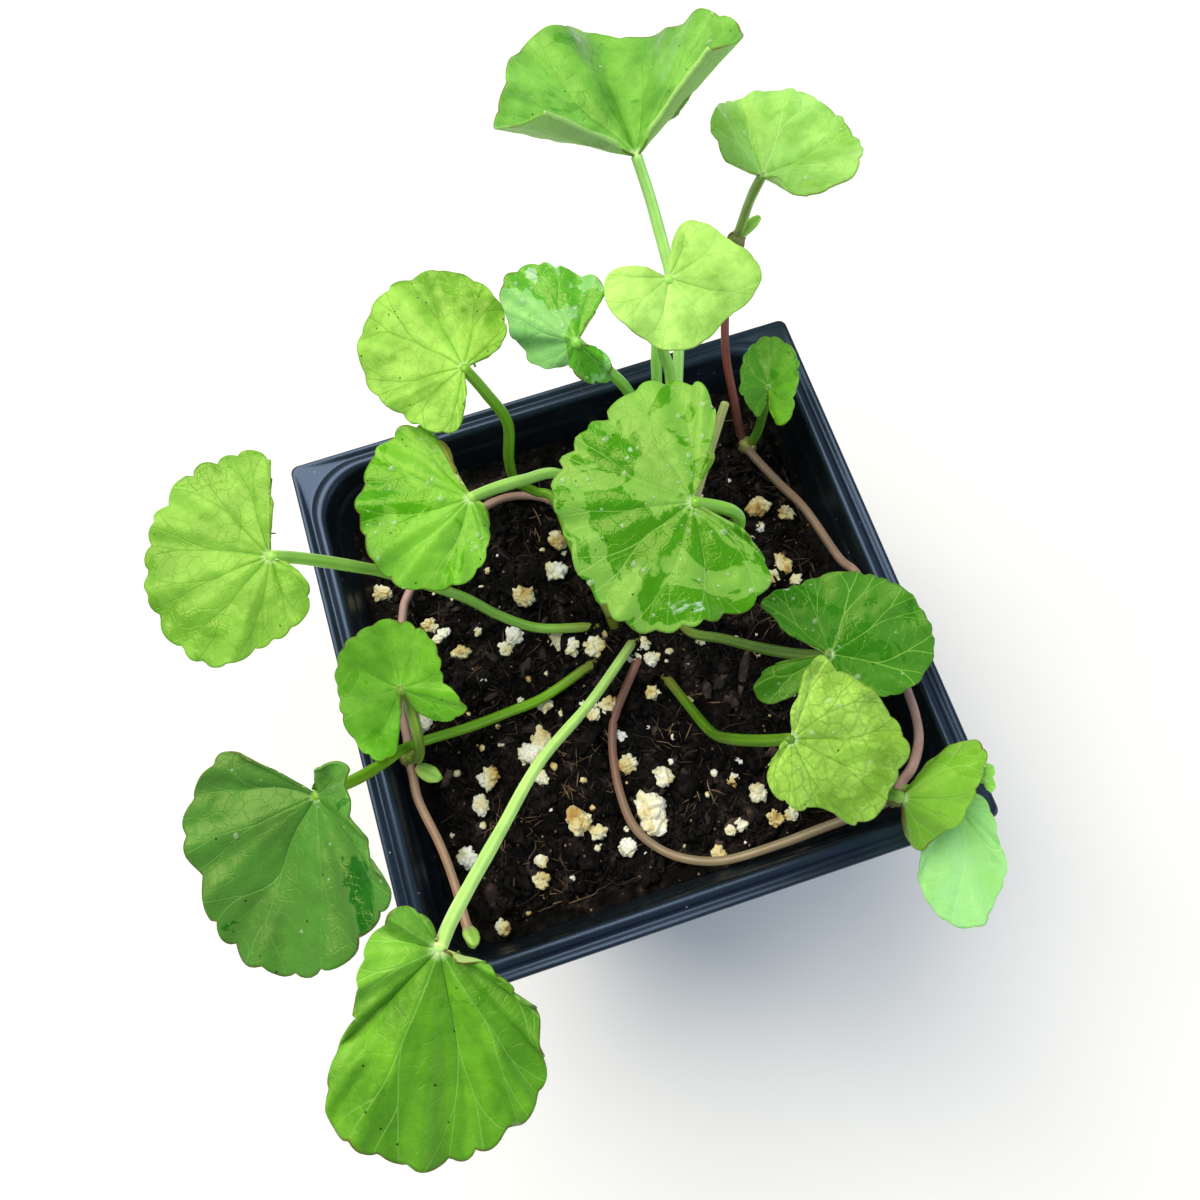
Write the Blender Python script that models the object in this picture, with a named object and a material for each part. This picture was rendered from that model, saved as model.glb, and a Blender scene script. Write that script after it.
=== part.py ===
"""Potted gotu kola: a creeping herb with round, scalloped leaves, in a square nursery pot.

Lengths are in metres and +Z is up. The origin is the middle of the pot's underside. The plant is laid
out in millimetres from the middle of the pot's rim: x to the right, y to the back, z up.
"""

import math
import random

import bmesh
import bpy
from mathutils import Matrix, Vector

# Pot
POT_WIDTH = 0.100  # across the rim
POT_HEIGHT = 0.090
BASE_WIDTH = 0.070
WALL = 0.0008
FLOOR = 0.0010
FLANGE = 0.0044  # from the rim's edge to the inner wall
LIP_DEPTH = 0.0020
LEDGE_DROP = 0.0060  # the stacking ledge on the inner wall
LEDGE_STEP = 0.0005
RIM_CORNER = 0.0015
POT_CORNER = 0.0100
DRAIN_HOLE = 0.0090
DRAIN_INSET = 0.0130  # from the base's edge to the middle of a hole

# Soil and plant
SOIL_DROP = 0.0120  # from the rim down to the soil
SOIL_BUMPS = 0.0006
PETIOLE_DIAMETER = 0.0019
RUNNER_DIAMETER = 0.0017
NODE_DIAMETER = 0.0034
BLADE_THICKNESS = 0.0005
GAP = 0.0003  # between neighbouring solids
CROWN_DIAMETER = 0.0085
CROWN_HEIGHT = 0.0040

# The layout's own pot, in millimetres: a wider pot or a deeper soil stretches the plant to match.
LAYOUT_WIDTH = 100.0
LAYOUT_DROP = 12.0
ACROSS = POT_WIDTH / LAYOUT_WIDTH
DOWN = SOIL_DROP / LAYOUT_DROP

PETIOLE = PETIOLE_DIAMETER / 2
RUNNER = RUNNER_DIAMETER / 2
NODE = NODE_DIAMETER / 2

# A blade is a fan of main veins that leaves the petiole's end in the order of the compass.
# at: the petiole's end. fan: each vein's bearing in degrees from +x towards +y. rise: its angle above
# level. veins: its length. bend: how far the whole blade curves down from base to edge, in degrees.
BLADES = {
    "leaf_north": dict(
        at=(22.5, 60, 42),
        fan=(-2, 12, 41, 54, 73, 87, 100, 123, 144, 168, 190),
        rise=(60, 38, 28, 15, -3, -5, 8, 12, 16, 22, 52),
        veins=(18.5, 22, 22, 20.5, 24.5, 27.5, 25, 24.5, 22, 22, 20),
    ),
    "leaf_funnel": dict(
        at=(45.5, 61, 28),
        fan=(-85, -55, -22, 7, 35, 62, 96, 127, 180),
        rise=(35, 25, 15, 10, 5, 5, 12, 25, 40),
        veins=(9, 14, 16.5, 16.5, 17, 16.5, 14.5, 12.5, 6),
    ),
    "leaf_heart": dict(
        at=(19, 35, 46),
        fan=(140, 166, 194, 226, 252, 280, 307, 334, 349, 378, 413, 430),
        rise=(8, 4, 0, -5, -8, -8, -5, 0, 4, 8, 10, 10),
        veins=(8.5, 9.5, 9.5, 9.5, 10.5, 10.5, 10, 12.5, 13, 10.5, 9.5, 7.5),
        bend=-10,
    ),
    "leaf_northwest": dict(
        at=(-12.5, 37, 36),
        fan=(5, 25, 57, 87, 109, 134, 167, 191, 220, 243, 259),
        rise=(8, 8, 8, 6, 4, 0, -4, -6, -6, -4, 0),
        veins=(6.5, 9, 13.5, 17.5, 19, 18.5, 15.5, 12.5, 11, 10.5, 6.5),
        bend=-10,
    ),
    "leaf_wet": dict(
        at=(4, 32, 42),
        fan=(38, 48, 73, 94, 111, 128, 143, 154, 205, 240, 292, 309, 325),
        rise=(15, 12, 8, 8, 6, 3, -5, -35, -50, -50, -45, -20, -5),
        veins=(10, 10, 11, 13, 14.5, 13.5, 10.5, 9.5, 4.5, 4.5, 7.5, 7, 5),
    ),
    "leaf_corner": dict(
        at=(38.5, 32, 9),
        fan=(-107, -91, -57, 17, 72, 101, 144, 214, 239),
        rise=(10, 25, 40, 35, 5, 5, 10, 15, 10),
        veins=(10, 10, 6.5, 7, 10, 8, 5.5, 6.5, 8.5),
    ),
    "leaf_centre": dict(
        at=(12, 4, 40),
        fan=(53, 59, 72, 92, 119, 149, 175, 203, 229, 255, 286, 301, 314),
        rise=(10, 10, 8, 8, 6, 4, 0, -3, -6, -6, -6, -4, 0),
        veins=(13, 15.5, 18.5, 19, 18.5, 20, 18.5, 19, 19.5, 17, 16.5, 14.5, 9),
        bend=-10,
    ),
    "leaf_inner_west": dict(
        at=(-17.5, 19, 30),
        fan=(101, 103, 117, 139, 164, 182, 207, 231, 258, 281, 312),
        rise=(10, 8, 6, 4, 2, 0, -5, -8, -8, -5, -3),
        veins=(9.5, 13.5, 16.5, 17, 17.5, 17.5, 17.5, 15, 11.5, 6.5, 3.5),
        bend=-10,
    ),
    "leaf_west": dict(
        at=(-45, 14, 42),
        fan=(72, 76, 91, 116, 149, 176, 205, 227, 248, 278, 299, 324),
        rise=(15, 15, 12, 8, 4, 0, -4, -6, -8, -8, -5, 0),
        veins=(12.5, 14.5, 15.5, 17, 17.5, 17.5, 17.5, 16.5, 12.5, 10, 8, 4.5),
        bend=-8,
    ),
    "leaf_runner_west": dict(
        at=(-37.5, -2, 15),
        fan=(-68, -59, -36, -28, -7, 27, 71, 110, 134, 175, 224, 240, 248),
        rise=(-25, -20, -12, -5, 0, 5, 5, 0, -3, -10, -20, -22, -28),
        veins=(7.5, 8.5, 11, 10, 7, 8.5, 11, 12, 12, 10.5, 12.5, 12, 10.5),
    ),
    "leaf_southwest": dict(
        at=(-46, -19, 42),
        fan=(131, 134, 139, 157, 176, 199, 218, 237, 260, 281, 292, 309, 345, 430),
        rise=(12, 12, 10, 5, 0, -3, -6, -8, -5, 5, 15, 40, 50, 45),
        veins=(5, 10, 13, 15, 17, 17.5, 20.5, 22, 21, 18, 17, 12, 10.5, 6.5),
    ),
    "leaf_south": dict(
        at=(-35.5, -41, 44),
        fan=(91, 116, 150, 195, 209, 219, 235, 253, 271, 294, 308, 325),
        rise=(15, 15, 10, 0, -3, -5, -8, -8, -8, -5, 5, 20),
        veins=(3.5, 7, 8, 11.5, 18, 22.5, 23.5, 24, 22.5, 19, 13.5, 9.5),
    ),
    "leaf_east": dict(
        at=(28, -18.5, 18),
        fan=(169, 187, 201, 216, 250, 285, 314, 341, 374, 410, 453, 485, 501),
        rise=(0, -5, -8, -8, -8, -5, -3, 0, 5, 8, 8, 10, 20),
        veins=(11.5, 13.5, 12, 7, 6.5, 7.5, 12.5, 16, 16, 14, 12, 13.5, 8),
    ),
    "leaf_southeast": dict(
        at=(16, -29.5, 26),
        fan=(-157, -140, -105, -82, -69, -45, -20, 3, 35, 51, 63),
        rise=(0, -4, -8, -10, -10, -6, -2, 3, 8, 10, 12),
        veins=(3.5, 7, 10, 11, 16, 16, 17, 14.5, 12.5, 13, 10),
        bend=-8,
    ),
    "leaf_folded": dict(
        at=(30.5, -42, 16),
        fan=(-88, -84, -63, -38, -9, 7, 18, 22, 26),
        rise=(-60, -35, -15, -5, 0, -3, -8, -25, -60),
        veins=(6, 9.5, 8.5, 9.5, 12, 15, 15.5, 12, 7),
    ),
    "leaf_pale": dict(
        at=(40.5, -45, 8),
        fan=(-152, -141, -127, -113, -100, -88, -70, -58, -26, 6),
        rise=(0, -5, -8, -8, -8, -8, -5, -3, 0, 3),
        veins=(7.5, 11, 16, 19, 19.5, 16.5, 12.5, 8.5, 5.5, 4.5),
    ),
    "leaf_bud": dict(
        at=(45.5, -43.5, 10),
        fan=(-99, -51, -10, 25, 60),
        rise=(10, 10, 10, 10, 10),
        veins=(2.5, 2, 1.5, 2.5, 3),
    ),
}

# Stems run through these points. One with no height lies on the soil.
PETIOLES = {
    "leaf_north": [
        (11.2, 11, -8), (11.5, 13, 0), (16, 22, 10), (21, 33, 20), (23.5, 42.5, 28), (23.5, 54, 36),
    ],
    "leaf_funnel": [(43.3, 61.3, 15.8), (44.2, 61.8, 20), (44.6, 61.3, 24)],
    "leaf_heart": [
        (8.9, 12.5, -8), (9.8, 14, 5), (15, 20.5, 18), (18, 29, 28), (17.5, 32, 33), (17.8, 34, 39),
    ],
    "leaf_northwest": [
        (-0.8, 7.2, -8.6), (-3, 19, -6.8), (-3.8, 29.5, -5), (-7, 32, -4), (-9.8, 32.5, 2),
        (-10, 31.5, 13), (-8.5, 33, 23), (-10.5, 35, 31),
    ],
    "leaf_wet": [
        (3.7, 12.3, -8), (6, 17, -3), (10, 24.5, 5), (12, 29, 13.5), (12, 31.5, 23), (7.5, 33, 33),
    ],
    "leaf_corner": [(36.4, 28.9, -3.6), (37, 29.2, 0), (37.8, 30.6, 5)],
    "leaf_centre": [(12.9, 5.4, -8), (15, 3.5, 4), (18, 2.5, 20), (19, 1.8, 31), (17.5, 2.6, 36)],
    "leaf_inner_west": [
        (1.2, 10.9, -7.8), (2.4, 17, -1), (1.3, 22.5, 8), (-3, 25, 16), (-9, 22.5, 23), (-14, 20.7, 27),
    ],
    "leaf_west": [
        (-5, 5), (-14, 7, -8), (-20, 9.5, -1), (-25, 12.5, 7), (-34, 16, 18), (-37, 16, 24),
        (-42, 15, 35.5),
    ],
    "leaf_runner_west": [
        (-41.6, -10, -2.8), (-40.2, -10.8, 0.3), (-38.8, -10, 4.5), (-37.8, -7.8, 9), (-37.5, -3.5, 11),
    ],
    "leaf_southwest": [
        (-8, -2.5), (-17, -5.5, -9.5), (-23.5, -6.5, -7.5), (-31, -7.5, -4.5), (-38.5, -7.9, -1.8),
        (-42, -8.8, 1.5), (-44.9, -11.5, 8.5), (-46.2, -14.3, 19), (-46.2, -16.8, 31),
    ],
    "leaf_south": [(2, -0.5), (-9, -11, 2), (-19.5, -20, 16), (-27, -29, 27), (-33.5, -37.5, 39)],
    "leaf_east": [(11.1, 1.9, -8), (12, -3.5, -4), (16, -8, 3), (20, -12.5, 9), (25, -16.7, 14.3)],
    "leaf_southeast": [(6, -9.5), (7.5, -16, -6), (8.5, -22.5, 3), (10, -25.5, 12), (13.3, -28, 20)],
    "leaf_folded": [(32.8, -41.2, 3.5), (31.2, -40.4, 8), (29.9, -40.8, 12.3)],
    "leaf_pale": [(35.6, -43.8, 1.2), (37.2, -45, 3.8)],
    "leaf_bud": [(35.4, -41.8, 3.4), (40, -41.6, 6), (43.5, -42.4, 8.4)],
}
STALKS = {
    "stalk_spent": [
        (6.3, 13, -8), (9.8, 17.5, 3), (14.6, 24, 14), (16.8, 32, 24), (17.8, 35.5, 28),
        (19.5, 38.5, 31),
    ],
    "stalk_cut": [(12.8, 8.7, -8), (16.5, 13.5, -1), (22.5, 21.5, 5), (27.5, 28, 10), (29.5, 30.5, 12)],
}
RUNNERS = {
    "runner_west": [
        (0.5, 16), (-1, 24), (-3.5, 31), (-9, 34.5), (-16, 34, -8), (-27, 30, -8), (-35.5, 21.5, -8),
        (-38, 16.5, -7.5), (-41.8, 3.5, -6.5), (-42.4, -6.2, -6),
    ],
    "runner_west_tip": [
        (-43, -12, -6), (-43.1, -17, -5.5), (-41.5, -25.5, -6), (-40.8, -32.5, -6), (-40.5, -38.5, -5),
    ],
    "runner_south": [
        (1, -5), (-2.5, -9), (-6, -13.5), (-8, -19), (-9, -26), (-8.5, -32.5), (-5.5, -37.5),
        (-1, -41, -8.5), (5, -43, -8), (14, -43.3, -6.5), (22, -43, -5), (27, -42.8, -4),
        (31.5, -42.3, -1),
    ],
    "runner_east": [
        (36.2, -40.1, -0.2), (39, -38, 0.5), (42, -34.3, -0.5), (43, -30.2, 0), (43, -26, 1),
        (43, -14.5, 3), (42.2, -4.5, 3), (41, 0.2, 1), (39.5, 11.5, -1.5), (37.5, 19, -4),
        (35.3, 26, -5),
    ],
    "runner_north": [
        (34.6, 31.5, -4.8), (34.5, 36, 0), (34.5, 42, 5.5), (36, 48, 9.5), (38.5, 53.5, 12),
        (41, 58.3, 12.9),
    ],
}
JOINTS = {
    "node_west": (-43, -9, -5.5),
    "node_south": (34, -42, 0.5),
    "node_east": (35.2, 28.7, -6),
    "node_north": (42.4, 60.6, 13),
}
# Spindles have a thickness, as a share of the runner's, at each point.
BUDS = {
    "young_leaf": (
        [(-41.9, -11.2, -5.4), (-40.8, -12.2, -5), (-39.3, -13.6, -4.5), (-38.2, -14.8, -4)],
        (0.6, 1.2, 1.3, 0.5),
    ),
    "tip_bud": (
        [(-40.4, -39.8, -4.6), (-40.2, -41, -4), (-39.8, -42.2, -3), (-39.5, -43, -2.2)],
        (1.1, 1.7, 1.5, 0.7),
    ),
}
# The largest perlite grains: where each lies, and how wide it is.
GRAINS = [
    (-5.5, 23.5, 4.2),
    (-7.5, 17.5, 4.0),
    (-15, 14.5, 4.4),
    (-31, -16.5, 4.6),
    (-33.5, -20.5, 3.6),
    (-0.5, -26, 3.8),
    (-17.5, -28.5, 4.4),
    (33.5, 17.5, 4.4),
    (14.5, -34, 4.0),
]

# Section of the pot's shell: from the underside's edge up the outside, over the rim, and down the inside.
HALF = POT_WIDTH / 2
FOOT = BASE_WIDTH / 2
THROAT = HALF - FLANGE
SOIL_TOP = POT_HEIGHT - SOIL_DROP


def taper(z):
    """Half width of the inner wall below the ledge."""
    share = (z - FLOOR) / (POT_HEIGHT - LEDGE_DROP - FLOOR)
    return FOOT - WALL + share * (THROAT - LEDGE_STEP - FOOT + WALL)


def start_scene():
    for obj in list(bpy.data.objects):
        bpy.data.objects.remove(obj, do_unlink=True)
    groups = []
    for name in ("potted_gotu_kola", "cutters"):
        group = bpy.data.collections.new(name)
        bpy.context.scene.collection.children.link(group)
        groups.append(group)
    return groups


def paint(obj, colour, roughness):
    material = bpy.data.materials.new(obj.name)
    material.use_nodes = True
    shader = material.node_tree.nodes["Principled BSDF"]
    shader.inputs["Base Color"].default_value = (*colour, 1.0)
    shader.inputs["Roughness"].default_value = roughness
    shader.inputs["Metallic"].default_value = 0.0
    obj.data.materials.clear()
    obj.data.materials.append(material)


def add(name, data, colour, roughness, origin=(0, 0, 0), parent=None):
    obj = bpy.data.objects.new(name, data)
    obj.location = origin
    obj.parent = parent
    parts.objects.link(obj)
    paint(obj, colour, roughness)
    return obj


def mesh_of(name, rings, closed=True, first_cap=False, last_cap=False, centre=None):
    """A mesh through rings of equal point counts. A centre point joins to the first ring."""
    bm = bmesh.new()
    rows = [[bm.verts.new(point) for point in ring] for ring in rings]
    count = len(rows[0])
    last = count if closed else count - 1
    if centre is not None:
        middle = bm.verts.new(centre)
        for i in range(last):
            bm.faces.new((middle, rows[0][i], rows[0][(i + 1) % count]))
    for low, high in zip(rows, rows[1:]):
        for i in range(last):
            j = (i + 1) % count
            bm.faces.new((low[i], high[i], high[j], low[j]))
    if first_cap:
        bm.faces.new(list(reversed(rows[0])))
    if last_cap:
        bm.faces.new(rows[-1])
    bmesh.ops.recalc_face_normals(bm, faces=bm.faces)
    mesh = bpy.data.meshes.new(name)
    bm.to_mesh(mesh)
    bm.free()
    mesh.shade_smooth()
    return mesh


def square(half, corner, z, arc_steps=5, side_steps=1):
    """A rounded square, counter-clockwise from above."""
    points = []
    for quarter in range(4):
        ring = [
            (half - corner + corner * math.cos(t), half - corner + corner * math.sin(t))
            for t in (math.radians(90 * i / arc_steps) for i in range(arc_steps + 1))
        ]
        ring += [
            ((half - corner) * (1 - 2 * i / side_steps), half) for i in range(1, side_steps)
        ]
        turned = Matrix.Rotation(math.radians(90 * quarter), 3, "Z")
        points += [tuple(turned @ Vector((x, y, z))) for x, y in ring]
    return points


def soil_top(x, y):
    """The height of the soil's surface, which has low bumps."""
    bump = math.sin(x * 118 + 0.6) * math.cos(y * 104 - 0.3) + 0.5 * math.sin((x - y) * 131 + 1.1)
    return SOIL_TOP + SOIL_BUMPS * bump / 1.5


def place(point, radius=0.0):
    """A layout point in metres. One with no height lies on the soil, a radius and a gap above it."""
    x, y = point[0] * ACROSS, point[1] * ACROSS
    if len(point) == 2:
        return Vector((x, y, soil_top(x, y) + radius + GAP))
    return Vector((x, y, POT_HEIGHT + point[2] * (ACROSS if point[2] > 0 else DOWN)))


def between(values, share):
    """Catmull-Rom through evenly spaced values. Share runs from 0 to 1."""
    last = len(values) - 1
    i = min(int(share * last), last - 1)
    t = share * last - i
    p1, p2 = values[i], values[i + 1]
    p0 = values[i - 1] if i > 0 else 2 * p1 - p2
    p3 = values[i + 2] if i + 2 <= last else 2 * p2 - p1
    square_term = (2 * p0 - 5 * p1 + 4 * p2 - p3) * t**2
    cube_term = (3 * p1 - p0 - 3 * p2 + p3) * t**3
    return 0.5 * (2 * p1 + (p2 - p0) * t + square_term + cube_term)


def add_pot():
    floor_in = taper(FLOOR)
    section = [
        (FOOT, POT_CORNER * 0.8, 0.0),
        (taper(POT_HEIGHT - LEDGE_DROP) + WALL, POT_CORNER, POT_HEIGHT - LEDGE_DROP - WALL),
        (THROAT + WALL, POT_CORNER, POT_HEIGHT - LEDGE_DROP + WALL),
        (THROAT + WALL, POT_CORNER, POT_HEIGHT - LIP_DEPTH),
        (HALF - WALL, RIM_CORNER, POT_HEIGHT - LIP_DEPTH - 0.0002),
        (HALF, RIM_CORNER, POT_HEIGHT - LIP_DEPTH),
        (HALF, RIM_CORNER, POT_HEIGHT - 0.0008),
        (HALF - 0.0004, RIM_CORNER, POT_HEIGHT - 0.0004),
        (HALF - 0.0010, RIM_CORNER, POT_HEIGHT - 0.0005),
        (HALF - 0.0015, POT_CORNER, POT_HEIGHT - 0.0009),
        (HALF - 0.0021, POT_CORNER, POT_HEIGHT - 0.0008),
        (HALF - 0.0027, POT_CORNER, POT_HEIGHT - 0.0001),
        (HALF - 0.0034, POT_CORNER, POT_HEIGHT),
        (HALF - 0.0041, POT_CORNER, POT_HEIGHT - 0.0004),
        (THROAT, POT_CORNER, POT_HEIGHT - 0.0014),
        (THROAT - 0.0002, POT_CORNER, POT_HEIGHT - LEDGE_DROP + 0.0004),
        (taper(POT_HEIGHT - LEDGE_DROP), POT_CORNER, POT_HEIGHT - LEDGE_DROP - 0.0002),
        (floor_in, POT_CORNER * 0.75, FLOOR),
    ]
    rings = [square(*level) for level in section]
    pot = add("pot", mesh_of("pot", rings, first_cap=True, last_cap=True), (0.02, 0.024, 0.03), 0.42)
    reach = FOOT - DRAIN_INSET
    for i, (x, y) in enumerate(((1, 1), (-1, 1), (-1, -1), (1, -1))):
        bpy.ops.mesh.primitive_cylinder_add(
            vertices=16, radius=DRAIN_HOLE / 2, depth=6 * FLOOR, location=(x * reach, y * reach, FLOOR / 2)
        )
        cutter = bpy.context.object
        cutter.name = f"drain_cutter_{i}"
        for group in list(cutter.users_collection):
            group.objects.unlink(cutter)
        cutters.objects.link(cutter)
        cutter.hide_render = True
        cutter.display_type = "WIRE"
        cut = pot.modifiers.new(f"drain_{i}", "BOOLEAN")
        cut.operation = "DIFFERENCE"
        cut.solver = "EXACT"
        cut.object = cutter
    return pot


def add_soil():
    """One block that fills the pot, a gap clear of its walls, with a bumpy top."""
    top = taper(SOIL_TOP - 2 * SOIL_BUMPS) - GAP
    foot = FLOOR + GAP
    rings = [
        square(taper(foot) - GAP, POT_CORNER * 0.72, foot, 5, 6),
        square(top - GAP, POT_CORNER * 0.95, SOIL_TOP - 0.002, 5, 6),
    ]
    for share in (1.0, 0.84, 0.67, 0.5, 0.33, 0.16):
        ring = square(top * share, POT_CORNER * share, 0.0, 5, 6)
        rings.append([(x, y, soil_top(x, y)) for x, y, _ in ring])
    rings.reverse()
    mesh = mesh_of("soil", rings, centre=(0, 0, soil_top(0, 0)), last_cap=True)
    add("soil", mesh, (0.035, 0.022, 0.014), 0.95)


def add_ball(name, middle, sizes, colour, roughness, rings=6, segments=10):
    mesh = bpy.data.meshes.new(name)
    bm = bmesh.new()
    bmesh.ops.create_uvsphere(bm, u_segments=segments, v_segments=rings, radius=0.5)
    bmesh.ops.scale(bm, vec=sizes, verts=bm.verts)
    bm.to_mesh(mesh)
    bm.free()
    mesh.shade_smooth()
    return add(name, mesh, colour, roughness, middle, plant)


def add_stem(name, points, radius, colour, roughness=0.45, swell=None, steps=2):
    """A tube through the points, flat at both ends."""
    share_count = steps * (len(points) - 1)
    shares = [i / share_count for i in range(share_count + 1)]
    route = [Vector([between([p[axis] for p in points], share) for axis in range(3)]) for share in shares]
    curve = bpy.data.curves.new(name, "CURVE")
    curve.dimensions = "3D"
    curve.bevel_depth = radius
    curve.bevel_resolution = 1
    curve.use_fill_caps = True
    spline = curve.splines.new("POLY")
    spline.points.add(share_count)
    for node, share, point in zip(spline.points, shares, route):
        node.co = (*(point - route[0]), 1.0)
        node.radius = between(swell, share) if swell else 1.0
    return add(name, curve, colour, roughness, route[0], plant)


def blade_point(blade, side, share):
    """A point of the blade: side runs over the fan from 0 to 1, share from the petiole to the edge."""
    edge = abs(2 * side - 1)
    rounded = 0.3 + 0.7 * math.sqrt(max(0.0, 1 - edge**14))
    bearing = math.radians(between(blade["fan"], side))
    slope = math.radians(between(blade["rise"], side))
    length = between(blade["veins"], side) * rounded
    bend = math.radians(blade.get("bend", 0))
    if bend:
        out = length * (math.sin(slope + bend * share) - math.sin(slope)) / bend
        up = length * (math.cos(slope) - math.cos(slope + bend * share)) / bend
    else:
        out = length * share * math.cos(slope)
        up = length * share * math.sin(slope)
    return Vector((out * math.cos(bearing), out * math.sin(bearing), up)) * ACROSS


def thicken(mesh, height):
    """Closes an open sheet into a slab of this height, half of it above the sheet and half below."""
    bm = bmesh.new()
    bm.from_mesh(mesh)
    below = bm.verts[:]
    grown = bmesh.ops.extrude_face_region(bm, geom=bm.faces[:], use_keep_orig=True)
    above = [item for item in grown["geom"] if isinstance(item, bmesh.types.BMVert)]
    bmesh.ops.translate(bm, vec=(0, 0, height / 2), verts=above)
    bmesh.ops.translate(bm, vec=(0, 0, -height / 2), verts=below)
    bmesh.ops.recalc_face_normals(bm, faces=bm.faces)
    bm.to_mesh(mesh)
    bm.free()


def add_blade(name, blade, spokes=18, rings=3):
    sides = [0.5 + 0.5 * math.sin(math.pi * (i / spokes - 0.5)) for i in range(spokes + 1)]
    rows = [[blade_point(blade, side, (i + 1) / rings) for side in sides] for i in range(rings)]
    mesh = mesh_of(name, rows, closed=False, centre=(0, 0, 0))
    thicken(mesh, BLADE_THICKNESS)
    add(name, mesh, (0.17, 0.42, 0.04), 0.4, place(blade["at"]), plant)


def add_petiole(name, blade, points):
    """It ends short of the blade by a gap, in the direction of the point where they join."""
    route = [place(point, PETIOLE) for point in points]
    join = place(blade["at"])
    reach = 2 * GAP + BLADE_THICKNESS / 2 + PETIOLE
    route.append(join + (route[-1] - join).normalized() * reach)
    add_stem(f"petiole_{name.removeprefix('leaf_')}", route, PETIOLE, (0.35, 0.52, 0.13))


def add_grain(i, x, y, width):
    """An angular lump that rests on the soil."""
    mesh = bpy.data.meshes.new(f"perlite_{i:02d}")
    bm = bmesh.new()
    bmesh.ops.create_icosphere(bm, subdivisions=2, radius=0.5)
    for vert in bm.verts:
        vert.co *= dice.uniform(0.82, 1.0)
        vert.co.z *= 0.72
    bmesh.ops.rotate(bm, verts=bm.verts, matrix=Matrix.Rotation(dice.uniform(0, math.tau), 3, "Z"))
    bmesh.ops.scale(bm, vec=[width * 0.001] * 3, verts=bm.verts)
    low = min(vert.co.z for vert in bm.verts)
    bm.to_mesh(mesh)
    bm.free()
    spot = place((x, y))
    ground = max(
        soil_top(spot.x + dx * width * 0.0005, spot.y + dy * width * 0.0005)
        for dx in (-1, 0, 1)
        for dy in (-1, 0, 1)
    )
    add(f"perlite_{i:02d}", mesh, (0.82, 0.80, 0.74), 0.85, (spot.x, spot.y, ground + GAP - low))


dice = random.Random(7)
parts, cutters = start_scene()
plant = bpy.data.objects.new("plant", None)
plant.empty_display_size = 0.01
parts.objects.link(plant)

add_pot()
add_soil()
crown_spot = place((6.5, 6.5))
add_ball(
    "crown",
    (crown_spot.x, crown_spot.y, crown_spot.z + CROWN_HEIGHT / 2),
    (CROWN_DIAMETER, CROWN_DIAMETER, CROWN_HEIGHT),
    (0.20, 0.24, 0.07),
    0.7,
)
for leaf, shape in BLADES.items():
    add_blade(leaf, shape)
    add_petiole(leaf, shape, PETIOLES[leaf])
for stalk, route in STALKS.items():
    add_stem(stalk, [place(point) for point in route], PETIOLE, (0.40, 0.42, 0.18))
for runner, route in RUNNERS.items():
    add_stem(runner, [place(point, RUNNER) for point in route], RUNNER, (0.40, 0.20, 0.13))
for joint, spot in JOINTS.items():
    add_ball(joint, place(spot), [NODE_DIAMETER] * 3, (0.30, 0.28, 0.10), 0.6, 5, 8)
for bud, (route, widths) in BUDS.items():
    add_stem(bud, [place(point) for point in route], RUNNER, (0.45, 0.60, 0.20), 0.5, widths)
for number, (x, y, width) in enumerate(GRAINS, 1):
    add_grain(number, x, y, width)
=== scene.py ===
"""Potted gotu kola: the finished leaves, stems, soil and pot around the CAD frame.

Lengths are in metres, with +Z up and the origin at the middle of the pot's underside. The plant is laid
out in millimetres from the middle of the pot's rim: x to the right, y to the back, z up.
"""

import math
import random

import bmesh
import bpy
from mathutils import Matrix, Vector, noise


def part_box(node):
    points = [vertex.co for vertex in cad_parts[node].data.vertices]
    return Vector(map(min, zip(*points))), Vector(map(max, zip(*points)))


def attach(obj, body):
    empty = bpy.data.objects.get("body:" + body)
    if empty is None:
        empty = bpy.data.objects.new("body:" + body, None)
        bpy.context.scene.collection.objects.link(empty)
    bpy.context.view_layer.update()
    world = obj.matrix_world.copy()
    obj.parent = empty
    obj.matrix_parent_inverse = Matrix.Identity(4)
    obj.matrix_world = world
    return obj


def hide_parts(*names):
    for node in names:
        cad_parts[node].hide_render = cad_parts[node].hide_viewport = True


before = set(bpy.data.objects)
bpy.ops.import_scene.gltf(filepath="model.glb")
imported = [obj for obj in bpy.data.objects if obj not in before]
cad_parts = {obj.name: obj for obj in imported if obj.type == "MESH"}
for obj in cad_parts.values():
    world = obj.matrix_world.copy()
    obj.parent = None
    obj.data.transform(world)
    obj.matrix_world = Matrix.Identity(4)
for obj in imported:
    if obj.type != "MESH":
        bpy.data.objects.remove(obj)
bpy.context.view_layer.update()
dice = random.Random(11)

# ---------------------------------------------------------------------------------------------------
# Pot
# A square nursery pot, injection moulded in black polypropylene, with thin tapered walls. Its rim is a
# flat flange with a rounded bead and a groove, and a stacking ledge runs round the inside below it.

pot_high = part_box("pot")[1]
HALF = pot_high.x
HEIGHT = pot_high.z
FOOT = 0.035  # half the base's width
WALL = 0.0008
FLOOR = 0.0010
THROAT = HALF - 0.0044  # half the opening's width
LEDGE = 0.0005  # how far the stacking ledge stands in
LEDGE_DROP = 0.0060
POT_CORNER = 0.0100
DRAIN_HOLE = 0.0090
DRAIN_REACH = 0.0220  # from the middle of the base to a hole's, along each side
SHARP_EDGE = 42  # degrees
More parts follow.
